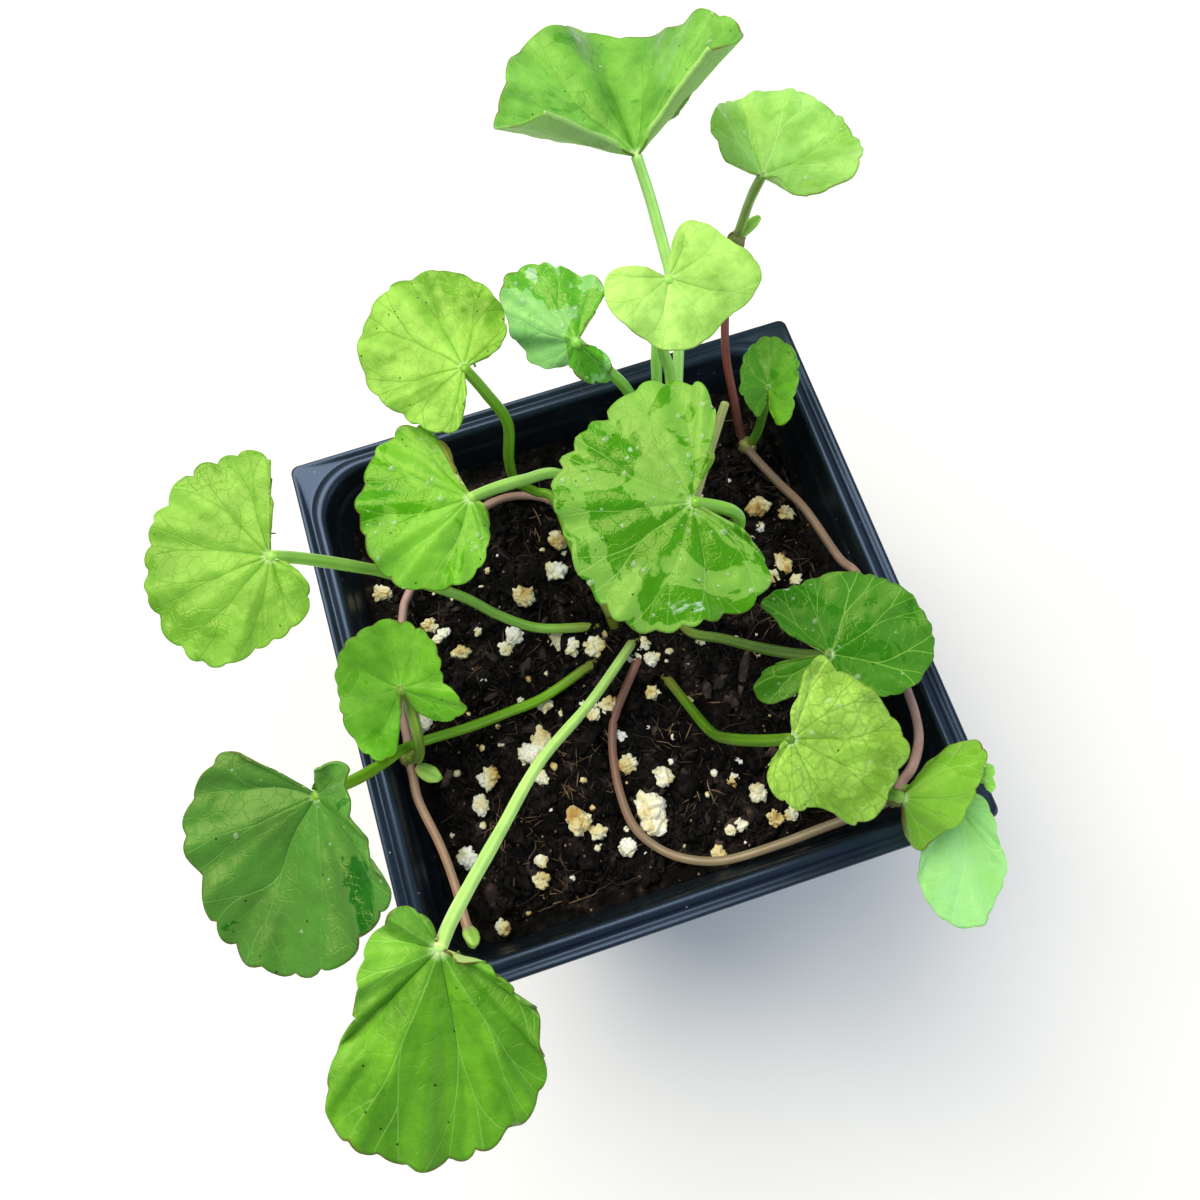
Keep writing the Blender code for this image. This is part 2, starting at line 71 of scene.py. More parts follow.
# The rim, from under the flange, over it, and down to the ledge: each level's inset from the edge, its
# drop from the top and its corner's radius, in millimetres.
RIM = (
    (3.6, 5.2, 10), (3.6, 2.4, 10), (3.3, 2.1, 10), (0.8, 2.2, 1.5), (0.2, 2.1, 1.5), (0, 1.8, 1.5),
    (0, 0.8, 1.5), (0.2, 0.5, 1.5), (0.4, 0.4, 1.5), (0.8, 0.45, 1.5), (1.2, 0.65, 4.5), (1.5, 0.9, 10),
    (1.8, 0.95, 10), (2.1, 0.8, 10), (2.4, 0.4, 10), (2.7, 0.1, 10), (3.4, 0, 10), (3.9, 0.2, 10),
    (4.2, 0.6, 10), (4.4, 1.4, 10), (4.5, 5.2, 10), (4.6, 5.6, 10),
)


def linear(colour):
    """An sRGB hex colour as linear RGBA."""
    channels = [int(colour[i : i + 2], 16) / 255 for i in (1, 3, 5)]
    return (*[c / 12.92 if c <= 0.04045 else ((c + 0.055) / 1.055) ** 2.4 for c in channels], 1.0)


def plug(tree, sockets, values):
    """Sets sockets, by name or in their order, to numbers and hex colours or the outputs that feed them."""
    for socket, value in values.items() if isinstance(values, dict) else enumerate(values):
        if isinstance(value, bpy.types.NodeSocket):
            tree.links.new(value, sockets[socket])
        else:
            sockets[socket].default_value = linear(value) if isinstance(value, str) else value


def node(tree, kind, inputs=(), stops=(), **settings):
    """Adds a shader node with its settings, its colour ramp's stops and its inputs."""
    made = tree.nodes.new("ShaderNode" + kind)
    for key, value in settings.items():
        setattr(made, key, value)
    for i, (place, value) in enumerate(stops):
        ramp = made.color_ramp.elements
        step = ramp[i] if i < 2 else ramp.new(place)
        step.position = place
        step.color = linear(value) if isinstance(value, str) else (value, value, value, 1.0)
    plug(tree, made.inputs, inputs)
    return made.outputs


def new_material(name):
    """A material with only its Principled shader: (material, its node tree, the shader's inputs)."""
    material = bpy.data.materials.new(name)
    material.use_nodes = True
    tree = material.node_tree
    return material, tree, tree.nodes["Principled BSDF"].inputs


def per_metre(size):
    """How many grains of this size, in millimetres, lie side by side in a metre: a pattern's scale."""
    return 1000 / size


def add_piece(name, shape, materials, stands_for=()):
    """A smooth mesh piece, from (points, faces), that rides with the pot and stands for CAD nodes."""
    mesh = bpy.data.meshes.new(name)
    mesh.from_pydata(shape[0], [], shape[1])
    for material in materials:
        mesh.materials.append(material)
    mesh.shade_smooth()
    piece = bpy.data.objects.new(name, mesh)
    bpy.context.scene.collection.objects.link(piece)
    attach(piece, "root")
    if stands_for:
        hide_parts(*stands_for)
    return piece


def taper(z):
    """Half width of the inner wall below the ledge."""
    share = (z - FLOOR) / (HEIGHT - LEDGE_DROP - FLOOR)
    return FOOT - WALL + share * (THROAT - LEDGE - FOOT + WALL)


def square(half, corner, z, arc_steps=10, side_steps=16):
    """A rounded square, counter-clockwise from above."""
    points = []
    for quarter in range(4):
        ring = []
        for i in range(arc_steps + 1):
            t = math.radians(90 * i / arc_steps)
            ring.append((half - corner + corner * math.cos(t), half - corner + corner * math.sin(t)))
        ring += [((half - corner) * (1 - 2 * i / side_steps), half) for i in range(1, side_steps)]
        turned = Matrix.Rotation(math.radians(90 * quarter), 3, "Z")
        points += [tuple(turned @ Vector((x, y, z))) for x, y in ring]
    return points


def loft(rings):
    """Points and faces of a skin through rings of equal point counts."""
    count = len(rings[0])
    points = [point for ring in rings for point in ring]
    faces = []
    for base in range(0, len(points) - count, count):
        for i in range(count):
            j = (i + 1) % count
            faces.append((base + i, base + j, base + count + j, base + count + i))
    faces.append(tuple(reversed(range(count))))
    faces.append(tuple(range(len(points) - count, len(points))))
    return points, faces


# Black polypropylene, moulded: a faint orange peel and a satin gloss that takes the light's colour,
# dulled by dried water marks 18 mm across and white specks of dust and lime, of 0.3 mm. The peel is drawn
# 0.7 mm across, coarser than a real mould's grain, so that it shows.
pot_plastic, tree, shader = new_material("moulded_black_polypropylene")
place = node(tree, "TexCoord")["Object"]
marks = {"Vector": place, "Scale": per_metre(18.2), "Detail": 6.0, "Roughness": 0.65}
film = node(tree, "TexNoise", marks)[0]
film_share = node(tree, "ValToRGB", (film,), [(0.46, 0.0), (0.74, 0.55)])[0]
dust_cells = node(tree, "TexVoronoi", {"Vector": place, "Scale": per_metre(1.11)})
dust_size = node(tree, "ValToRGB", (dust_cells["Distance"],), [(0.10, 1.0), (0.17, 0.0)])[0]
dust_pick = node(tree, "ValToRGB", (dust_cells["Color"],), [(0.87, 0.0), (0.91, 0.7)])[0]
dust = node(tree, "Math", (dust_size, dust_pick), operation="MULTIPLY")[0]
filmed = node(tree, "Mix", {0: film_share, 6: "#10161A", 7: "#26343E"}, data_type="RGBA")[2]
dusty = node(tree, "Mix", {0: dust, 6: filmed, 7: "#C3CACC"}, data_type="RGBA")[2]
peel = node(tree, "TexNoise", {"Vector": place, "Scale": per_metre(0.714), "Detail": 2.0})[0]
plug(tree, shader, {
    "Base Color": dusty,
    "Roughness": node(tree, "MapRange", (film, 0.0, 1.0, 0.26, 0.46))[0],
    "Normal": node(tree, "Bump", {"Strength": 0.25, "Distance": 0.00006, "Height": peel})[0],
    "IOR": 1.49,
    "Specular IOR Level": 0.75,
    "Specular Tint": "#ACCCFF",
})

section = [
    (FOOT - 0.0006, POT_CORNER * 0.8, 0.0),
    (FOOT, POT_CORNER * 0.8, 0.0006),
    (FOOT + 0.0002, POT_CORNER * 0.8, 0.0014),
    (taper(HEIGHT / 2) + WALL, POT_CORNER * 0.9, HEIGHT / 2),
    (taper(HEIGHT - LEDGE_DROP) + WALL, POT_CORNER, HEIGHT - LEDGE_DROP - WALL),
]
for inset, drop, corner in RIM:
    section.append((HALF - inset * 0.001, corner * 0.001, HEIGHT - drop * 0.001))
section += [
    (taper(HEIGHT - LEDGE_DROP), POT_CORNER, HEIGHT - LEDGE_DROP - 0.0001),
    (taper(HEIGHT - LEDGE_DROP) - 0.0001, POT_CORNER, HEIGHT - LEDGE_DROP - 0.0008),
    (taper(FLOOR), POT_CORNER * 0.75, FLOOR),
]
shell = loft([square(*level) for level in section])
pot = add_piece("pot_shell", shell, [pot_plastic], ["pot"])
for x in (-DRAIN_REACH, DRAIN_REACH):
    for y in (-DRAIN_REACH, DRAIN_REACH):
        bpy.ops.mesh.primitive_cylinder_add(
            vertices=48, radius=DRAIN_HOLE / 2, depth=0.006, location=(x, y, 0.0)
        )
        punch = bpy.context.object
        hole = pot.modifiers.new("drain", "BOOLEAN")
        hole.operation = "DIFFERENCE"
        hole.object = punch
        bpy.context.view_layer.update()
        graph = bpy.context.evaluated_depsgraph_get()
        drained = bpy.data.meshes.new_from_object(pot.evaluated_get(graph))
        pot.modifiers.clear()
        pot.data = drained
        bpy.data.objects.remove(punch)
pot.data.name = "pot_shell"
pot.data.shade_smooth()
pot.data.set_sharp_from_angle(angle=math.radians(SHARP_EDGE))

# ---------------------------------------------------------------------------------------------------
# Soil
# Potting mix: dark peat crumbs and fibres, pieces of composted bark, and white perlite grains, filled
# to 12 mm below the rim. It is loose, so it only lies in the pot.

SOIL_TOP = HEIGHT - 0.012
GAP = 0.0003
SOIL_HALF = taper(SOIL_TOP - 0.0012) + GAP
PEAT_CELLS = 230  # across the pot, each 0.4 mm
EDGE_ROOM = 0.003  # between the wall and the middle of a loose grain


def soil_level(x, y):
    """The height of the soil's surface without its crumbs."""
    bump = math.sin(x * 118 + 0.6) * math.cos(y * 104 - 0.3) + 0.5 * math.sin((x - y) * 131 + 1.1)
    return SOIL_TOP + 0.0006 * bump / 1.5


def crumbled(x, y):
    """The height of the soil's surface with its 2.4 mm clods, 1 mm crumbs and their roughness."""
    clod = noise.voronoi(Vector((x, y, 0)) * 420)[0][0]
    crumb = noise.voronoi(Vector((x, y, 0.4)) * 1050)[0][0]
    rough = noise.fractal(Vector((x, y, 0.3)) * 480, 0.7, 2.1, 4)
    return soil_level(x, y) + 0.0010 * (0.5 - clod) + 0.0007 * (0.5 - crumb) + 0.0005 * rough


def on_square(x, y):
    """Takes a point of the square from -1 to 1 to the soil's rounded square."""
    reach = max(abs(x), abs(y))
    corner = POT_CORNER * reach
    flat = SOIL_HALF * reach - corner
    low, high = sorted((abs(x), abs(y)))
    if low * SOIL_HALF > flat and reach > 0:
        turn = math.radians(45) * (low * SOIL_HALF - flat) / corner
        low, high = flat + corner * math.sin(turn), flat + corner * math.cos(turn)
    else:
        low, high = low * SOIL_HALF, high * SOIL_HALF
    if abs(x) > abs(y):
        low, high = high, low
    return math.copysign(low, x), math.copysign(high, y)


side = PEAT_CELLS + 1
points = []
for row in range(side):
    for column in range(side):
        x, y = on_square(2 * column / PEAT_CELLS - 1, 2 * row / PEAT_CELLS - 1)
        points.append((x, y, crumbled(x, y)))
faces = []
for row in range(PEAT_CELLS):
    for column in range(PEAT_CELLS):
        first = row * side + column
        faces.append((first, first + 1, first + side + 1, first + side))
edge = list(range(side))
edge += [PEAT_CELLS + side * i for i in range(1, side)]
edge += [side**2 - 1 - i for i in range(1, side)]
edge += [side * (PEAT_CELLS - i) for i in range(1, PEAT_CELLS)]
skirt = edge
for z in (SOIL_TOP - 0.004, FLOOR + GAP):
    shrink = (taper(z) - GAP) / SOIL_HALF
    ring = [len(points) + i for i in range(len(edge))]
    points += [(points[i][0] * shrink, points[i][1] * shrink, z) for i in edge]
    for i in range(len(edge)):
        j = (i + 1) % len(edge)
        faces.append((skirt[i], ring[i], ring[j], skirt[j]))
    skirt = ring
faces.append(tuple(reversed(skirt)))

# Damp peat: matt, with a wet glint here and there. Its colour follows the bump of its 4 mm clods, nearly
# black in their hollows and browner on the crumbs: the peat's own browns, with painted shade in the hollows.
# The pale grit in them is 0.4 mm.
peat, tree, shader = new_material("damp_peat")
place = node(tree, "TexCoord")["Object"]
clod = {"Vector": place, "Scale": per_metre(4.17), "Detail": 8.0, "Roughness": 0.7}
clods = node(tree, "TexNoise", clod)[0]
browns = [(0.36, "#030202"), (0.50, "#0A0807"), (0.60, "#1F1815"), (0.76, "#595049")]
# Painted shade: the ramp takes the clods' low parts, the hollows of the bump, nearly to black.
dark = node(tree, "ValToRGB", (clods,), browns)[0]
grit_cells = node(tree, "TexVoronoi", {"Vector": place, "Scale": per_metre(0.91)})
grit_size = node(tree, "ValToRGB", (grit_cells["Distance"],), [(0.18, 1.0), (0.30, 0.0)])[0]
grit_pick = node(tree, "ValToRGB", (grit_cells["Color"],), [(0.80, 0.0), (0.88, 0.7)])[0]
grit = node(tree, "Math", (grit_size, grit_pick), operation="MULTIPLY")[0]
damp = node(tree, "TexNoise", {"Vector": place, "Scale": per_metre(7.7), "Detail": 3.0})[0]
plug(tree, shader, {
    "Base Color": node(tree, "Mix", {0: grit, 6: dark, 7: "#A58C6C"}, data_type="RGBA")[2],
    "Roughness": node(tree, "MapRange", (damp, 0.4, 0.65, 0.7, 0.95))[0],
    "Normal": node(tree, "Bump", {"Strength": 0.7, "Distance": 0.0004, "Height": clods})[0],
    "Specular IOR Level": 0.12,
})
add_piece("peat", (points, faces), [peat], ["soil"])


def lump(centre, size, flat, stretch, rough, detail=1):
    """An irregular grain: (points, faces) of a jagged icosphere, size across, turned at random."""
    bm = bmesh.new()
    bmesh.ops.create_icosphere(bm, subdivisions=detail, radius=0.5)
    seed = Vector((dice.uniform(0, 90), dice.uniform(0, 90), dice.uniform(0, 90)))
    for vert in bm.verts:
        vert.co *= 1 + rough * noise.noise(vert.co * 3.1 + seed) + dice.uniform(-0.06, 0.06)
    spin = Matrix.Rotation(dice.uniform(0, math.tau), 3, "Z")
    tilt = Matrix.Rotation(dice.uniform(-0.35, 0.35), 3, "X")
    shape = Matrix.Diagonal((stretch, 1.0, flat)) * size
    grain = [tuple(Vector(centre) + spin @ tilt @ shape @ vert.co) for vert in bm.verts]
    bm.verts.index_update()
    sides = [tuple(vert.index for vert in face.verts) for face in bm.faces]
    bm.free()
    return grain, sides


def joined(shapes):
    """One list of points and faces for many loose shapes."""
    points, faces = [], []
    for more, sides in shapes:
        start = len(points)
        points += more
        faces += [tuple(start + i for i in side) for side in sides]
    return points, faces


def anywhere():
    """A random place on the soil."""
    x, y = on_square(dice.uniform(-1, 1), dice.uniform(-1, 1))
    share = 1 - EDGE_ROOM / SOIL_HALF
    return x * share, y * share


for name, amount, detail, sizes in (
    ("peat_grit", 6500, 0, (0.0004, 0.0006, 0.0008)),
    ("peat_crumbs", 1500, 1, (0.0009, 0.0012, 0.0017)),
    ("peat_clods", 110, 3, (0.0022, 0.0030)),
):
    grains = []
    for _ in range(amount):
        x, y = anywhere()
        size = dice.choice(sizes) * dice.uniform(0.8, 1.2)
        spot = (x, y, crumbled(x, y) + size * 0.15)
        grains.append(lump(spot, size, 0.65, dice.uniform(1.0, 1.9), 1.4, detail))
    add_piece(name, joined(grains), [peat])


def thread(route, radius, sides=4):
    """(points, faces) of a thin closed tube through a route's points."""
    rings = []
    for i, spot in enumerate(route):
        ahead = (route[min(i + 1, len(route) - 1)] - route[max(i - 1, 0)]).normalized()
        across = ahead.orthogonal().normalized()
        other = ahead.cross(across)
        thin = radius * (0.35 if i in (0, len(route) - 1) else 1.0)
        ring = []
        for k in range(sides):
            t = math.tau * k / sides
            ring.append(tuple(spot + across * thin * math.cos(t) + other * thin * math.sin(t)))
        rings.append(ring)
    return loft(rings)


# Peat fibre: fine dead roots, matt, from straw to dark brown, changing over 11 mm.
fibre, tree, shader = new_material("peat_fibre")
place = node(tree, "TexCoord")["Object"]
shade = node(tree, "TexNoise", {"Vector": place, "Scale": per_metre(11.1), "Detail": 2.0})[0]
straws = [(0.40, "#120C08"), (0.54, "#36271C"), (0.70, "#8A7050")]
plug(tree, shader, {"Base Color": node(tree, "ValToRGB", (shade,), straws)[0], "Roughness": 0.8})
strands = []
for curl, links, amount in ((0.55, 12, 110), (0.15, 5, 1500)):
    for _ in range(amount):
        x, y = anywhere()
        heading = dice.uniform(0, math.tau)
        lift = dice.uniform(0.0, 0.00022)
        route = []
        for k in range(dice.randint(3, links)):
            heading += dice.uniform(-curl, curl)
            x = max(EDGE_ROOM - SOIL_HALF, min(SOIL_HALF - EDGE_ROOM, x + 0.0010 * math.cos(heading)))
            y = max(EDGE_ROOM - SOIL_HALF, min(SOIL_HALF - EDGE_ROOM, y + 0.0010 * math.sin(heading)))
            route.append(Vector((x, y, crumbled(x, y) + 0.0002 + lift * k)))
        strands.append(thread(route, dice.choice((0.00005, 0.00008, 0.00014))))
add_piece("peat_fibres", joined(strands), [fibre])

# Composted bark: dull chips, red-brown to dark brown, with a grain of 2 mm.
bark, tree, shader = new_material("composted_bark")
place = node(tree, "TexCoord")["Object"]
along = {"Vector": place, "Scale": per_metre(2.38), "Detail": 5.0, "Distortion": 0.6}
grain = node(tree, "TexNoise", along)[0]
barks = [(0.36, "#0F0A08"), (0.52, "#2A1D18"), (0.72, "#5E463A")]
plug(tree, shader, {
    "Base Color": node(tree, "ValToRGB", (grain,), barks)[0],
    "Normal": node(tree, "Bump", {"Strength": 0.6, "Distance": 0.0003, "Height": grain})[0],
    "Roughness": 0.85,
})
chips = []
# The larger chips: x and y in the layout and width, in millimetres, and length as a share of the width.
for x, y, size, stretch in (
    (-27.5, -35.5, 2.2, 2.6), (-3.5, -27.5, 3.4, 1.5), (20, -12, 1.8, 4.5), (-36, -36, 2.4, 1.8),
    (9, -38, 2.6, 2.2), (26, -36, 2.0, 2.4), (38, -20, 2.2, 2.0), (-38, 28, 2.2, 2.2),
):
    x, y = x * 0.001, y * 0.001
    chips.append(lump((x, y, crumbled(x, y) + 0.0005), size * 0.001, 0.4, stretch, 0.6, 2))
for _ in range(70):
    x, y = anywhere()
    size = dice.uniform(0.0009, 0.0020)
    chips.append(lump((x, y, crumbled(x, y) + 0.0003), size, 0.4, dice.uniform(1.2, 2.6), 0.6, 2))
add_piece("bark_chips", joined(chips), [bark])

# Perlite: popped volcanic glass, a matt white foam of 0.4 mm bubbles, with ochre stains 7 mm apart.
perlite, tree, shader = new_material("expanded_perlite")
place = node(tree, "TexCoord")["Object"]
ochre = {"Vector": place, "Scale": per_metre(6.67), "Detail": 5.0, "Roughness": 0.6}
stain = node(tree, "TexNoise", ochre)[0]
creams = [(0.34, "#B98F48"), (0.42, "#DCCA8C"), (0.51, "#EEE6C2"), (0.64, "#FCFAF2")]
bubbles = node(tree, "TexVoronoi", {"Vector": place, "Scale": per_metre(0.435)})["Distance"]
plug(tree, shader, {
    "Base Color": node(tree, "ValToRGB", (stain,), creams)[0],
    "Normal": node(tree, "Bump", {"Strength": 0.6, "Distance": 0.00025, "Height": bubbles})[0],
    "Roughness": 0.88,
    "Subsurface Weight": 0.15,
    "Subsurface Scale": 0.0008,
})


def popped(middle, size):
    """A perlite grain: a cluster of burst bubbles, size across."""
    bubbles = [lump(middle, size * 0.7, 0.8, dice.uniform(1.0, 1.5), 0.8, 3)]
    for k in range(5):
        turn = math.tau * k / 5 + dice.uniform(-0.5, 0.5)
        out = size * dice.uniform(0.20, 0.30)
        side = Vector((out * math.cos(turn), out * math.sin(turn), size * dice.uniform(-0.05, 0.16)))
        width = size * dice.uniform(0.28, 0.56)
        bubbles.append(lump(Vector(middle) + side, width, 0.9, dice.uniform(1.0, 1.5), 0.8, 3))
    return joined(bubbles)


for number in range(1, 10):
    low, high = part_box(f"perlite_{number:02d}")
    grain = popped((low + high) / 2, high.x - low.x)
    add_piece(f"perlite_grain_{number:02d}", grain, [perlite], [f"perlite_{number:02d}"])
# Smaller grains: x and y in the layout, and width, in millimetres.
SMALL_GRAINS = (
    (-4.9, 1.5, 4.2), (-9.1, 2.5, 3.4), (-11.1, 4.6, 3.6), (3.6, -1.3, 2.8), (4.2, -4.5, 3),
    (1.3, -3.4, 2.4), (-6.2, -10.6, 3.6), (2.6, -10.6, 2.8), (-19.7, -12.7, 4.2), (-22.3, -14.5, 4.6),
    (-21.8, -19.2, 2.8), (-6.2, -21.9, 3.4), (-1, -25.5, 3.2), (-4.7, -30.4, 5.6), (-5.1, -33.2, 5),
    (-17.5, -28.6, 4), (-14.9, -31.5, 3), (-10.7, -35.4, 3.6), (11.2, -30, 2.6), (7.6, -38.4, 2.2),
    (9.7, -38.3, 2.4), (4.3, -45.2, 3), (-25.9, -33.3, 2.2), (-27, -36.2, 2.8), (-9.1, -11.1, 2.6),
    (-17.4, -6.4, 3), (-18.9, 8.2, 3.6), (-21.2, 6.5, 3), (-29.5, 8, 3.2), (-31.8, 12.7, 2.6),
    (-33.8, 14.8, 2.8), (-33.2, 11.7, 1.8), (-25.3, 10.8, 1.6), (-5, 23.6, 3), (-40.9, 24.3, 3.6),
    (-39.7, -2.6, 3.4), (-38.4, -28.4, 3.4), (-35.6, -42.4, 2.8), (33.9, 17.6, 2.8), (33.2, 14.1, 2.2),
    (39.2, 15, 3), (34.5, 5.4, 4.2), (32.2, 3.6, 3.2), (35.9, 1.8, 2.4), (15.9, -38.9, 2.8),
    (19, -39.2, 2.6), (-14.7, 14.4, 2.2), (8, -4.1, 1.6), (-5.7, -16.3, 2), (-27.1, -10.6, 1.6),
    (-21.4, -4.3, 1.4), (14.2, -4, 1.8), (20.4, -6, 1.8), (23.7, -9.5, 1.6), (8.6, -14.2, 1.6),
    (21.5, -16.4, 1.6), (-29.5, -5.6, 1.4),
)
small = []
for x, y, size in SMALL_GRAINS:
    size = size * 0.001
    reach = SOIL_HALF - 0.9 * size
    x = max(-reach, min(reach, x * 0.001))
    y = max(-reach, min(reach, y * 0.001))
    small.append(popped((x, y, crumbled(x, y) + size * 0.2), size))
for _ in range(150):
    x, y = anywhere()
    size = dice.uniform(0.0005, 0.0014)
    small.append(lump((x, y, crumbled(x, y) + size * 0.2), size, 0.8, 1.1, 0.5, 2))
add_piece("perlite_crumbs", joined(small), [perlite])

# ---------------------------------------------------------------------------------------------------
# Leaf stalks
# Petioles: juicy green stalks about 2 mm thick with five or six ribs along them. They grow in a tuft
# from the crown in the soil, or from a runner's joint, and each holds one leaf at its base.

PETIOLE = 0.00095
STALK_RIBS = 6
RIB_DEPTH = 0.014  # as a share of the radius


def between(values, share):
    """Catmull-Rom through evenly spaced values. Share runs from 0 to 1."""
    last = len(values) - 1
    i = min(int(share * last), last - 1)
    t = share * last - i
    p1, p2 = values[i], values[i + 1]
    p0 = values[i - 1] if i > 0 else 2 * p1 - p2
    p3 = values[i + 2] if i + 2 <= last else 2 * p2 - p1
    square_term = (2 * p0 - 5 * p1 + 4 * p2 - p3) * t**2
    cube_term = (3 * p1 - p0 - 3 * p2 + p3) * t**3
    return 0.5 * (2 * p1 + (p2 - p0) * t + square_term + cube_term)


def spot_at(point, radius=0.0):
    """A layout point in metres. One with no height lies on the soil, a radius and a gap above it."""
    x, y = point[0] * 0.001, point[1] * 0.001
    if len(point) == 2:
        return Vector((x, y, soil_level(x, y) + radius + GAP))
    return Vector((x, y, HEIGHT + point[2] * 0.001))


def float_attribute(mesh, name, kind, values):
    """Stores one value, or one x, y and z, for each point of a mesh."""
    layer = mesh.attributes.new(name, kind, "POINT")
    layer.data.foreach_set("value" if kind == "FLOAT" else "vector", values)


def grow_stem(name, route, radius, ribs, rib_depth, swell, skin, stands_for, step=0.0005):
    """A ribbed tube through a route. Swell gives its thickness along the way, as shares of the radius."""
    length = sum((b - a).length for a, b in zip(route, route[1:]))
    count = max(8, int(length / step))
    path = []
    for i in range(count + 1):
        path.append(Vector([between([p[axis] for p in route], i / count) for axis in range(3)]))
    rings, stripes, runs = [], [], []
    across = (path[1] - path[0]).orthogonal().normalized()
    run = 0.0
    seed = dice.uniform(0, 50)
    sides = 36
    for i, spot in enumerate(path):
        ahead = (path[min(i + 1, count)] - path[max(i - 1, 0)]).normalized()
        across = (across - ahead * across.dot(ahead)).normalized()
        other = ahead.cross(across)
        run += (spot - path[i - 1]).length if i else 0.0
        thick = radius * between(swell, i / count) * (1 + 0.05 * noise.noise(Vector((run * 160, seed, 0))))
        if i in (0, count):
            thick *= 0.55
        ring = []
        for k in range(sides):
            t = math.tau * k / sides
            twist = 0.4 * math.sin(run * 90 + seed)
            reach = thick * (1 - rib_depth + rib_depth * math.cos(ribs * t + twist))
            ring.append(tuple(spot + across * reach * math.cos(t) + other * reach * math.sin(t)))
            stripes.append(math.cos(ribs * t))
            runs.append(run * 1000)
        rings.append(ring)
    piece = add_piece(name, loft(rings), [skin], stands_for)
    float_attribute(piece.data, "stripe", "FLOAT", stripes)
    float_attribute(piece.data, "run", "FLOAT", runs)
    return piece


def stem_skin(name, crest, furrow, foot, foot_length, roughness=0.34):
    """Living stem skin with a soft, waxed-looking gloss: crests painted lighter and furrows darker, as light
    and shade on its ribs, and another tone towards its foot, in mm.

    It is mottled over 5 mm.
    """
    material, tree, shader = new_material(name)
    place = node(tree, "TexCoord")["Object"]
    stripe = node(tree, "Attribute", attribute_name="stripe")["Fac"]
    run = node(tree, "Attribute", attribute_name="run")["Fac"]
    # Painted light and shade: each rib's crest is painted towards the crest colour and each furrow towards
    # the furrow colour.
    lit = node(tree, "MapRange", (stripe, -1.0, 1.0, 0.5, 1.0))[0]
    striped = node(tree, "Mix", {0: lit, 6: furrow, 7: crest}, data_type="RGBA")[2]
    cloud = node(tree, "TexNoise", {"Vector": place, "Scale": per_metre(4.76), "Detail": 4.0})[0]
    ragged = node(tree, "Math", (cloud, foot_length), operation="MULTIPLY")[0]
    above = node(tree, "Math", (run, ragged), operation="SUBTRACT")[0]
    low = node(tree, "MapRange", (above, 0.0, foot_length, 0.85, 0.0))[0]
    footed = node(tree, "Mix", {0: low, 6: striped, 7: foot}, data_type="RGBA")[2]
    mottle = node(tree, "MapRange", (cloud, 0.35, 0.65, 0.90, 1.08))[0]
    plug(tree, shader, {
        "Base Color": node(tree, "HueSaturation", {"Value": mottle, "Color": footed})[0],
        "Normal": node(tree, "Bump", {"Strength": 0.2, "Distance": 0.0001, "Height": cloud})[0],
        "Roughness": roughness,
        "Specular IOR Level": 0.4,
        "Subsurface Weight": 0.2,
        "Subsurface Radius": (1.0, 1.0, 0.3),
        "Subsurface Scale": 0.0012,
    })
    return material
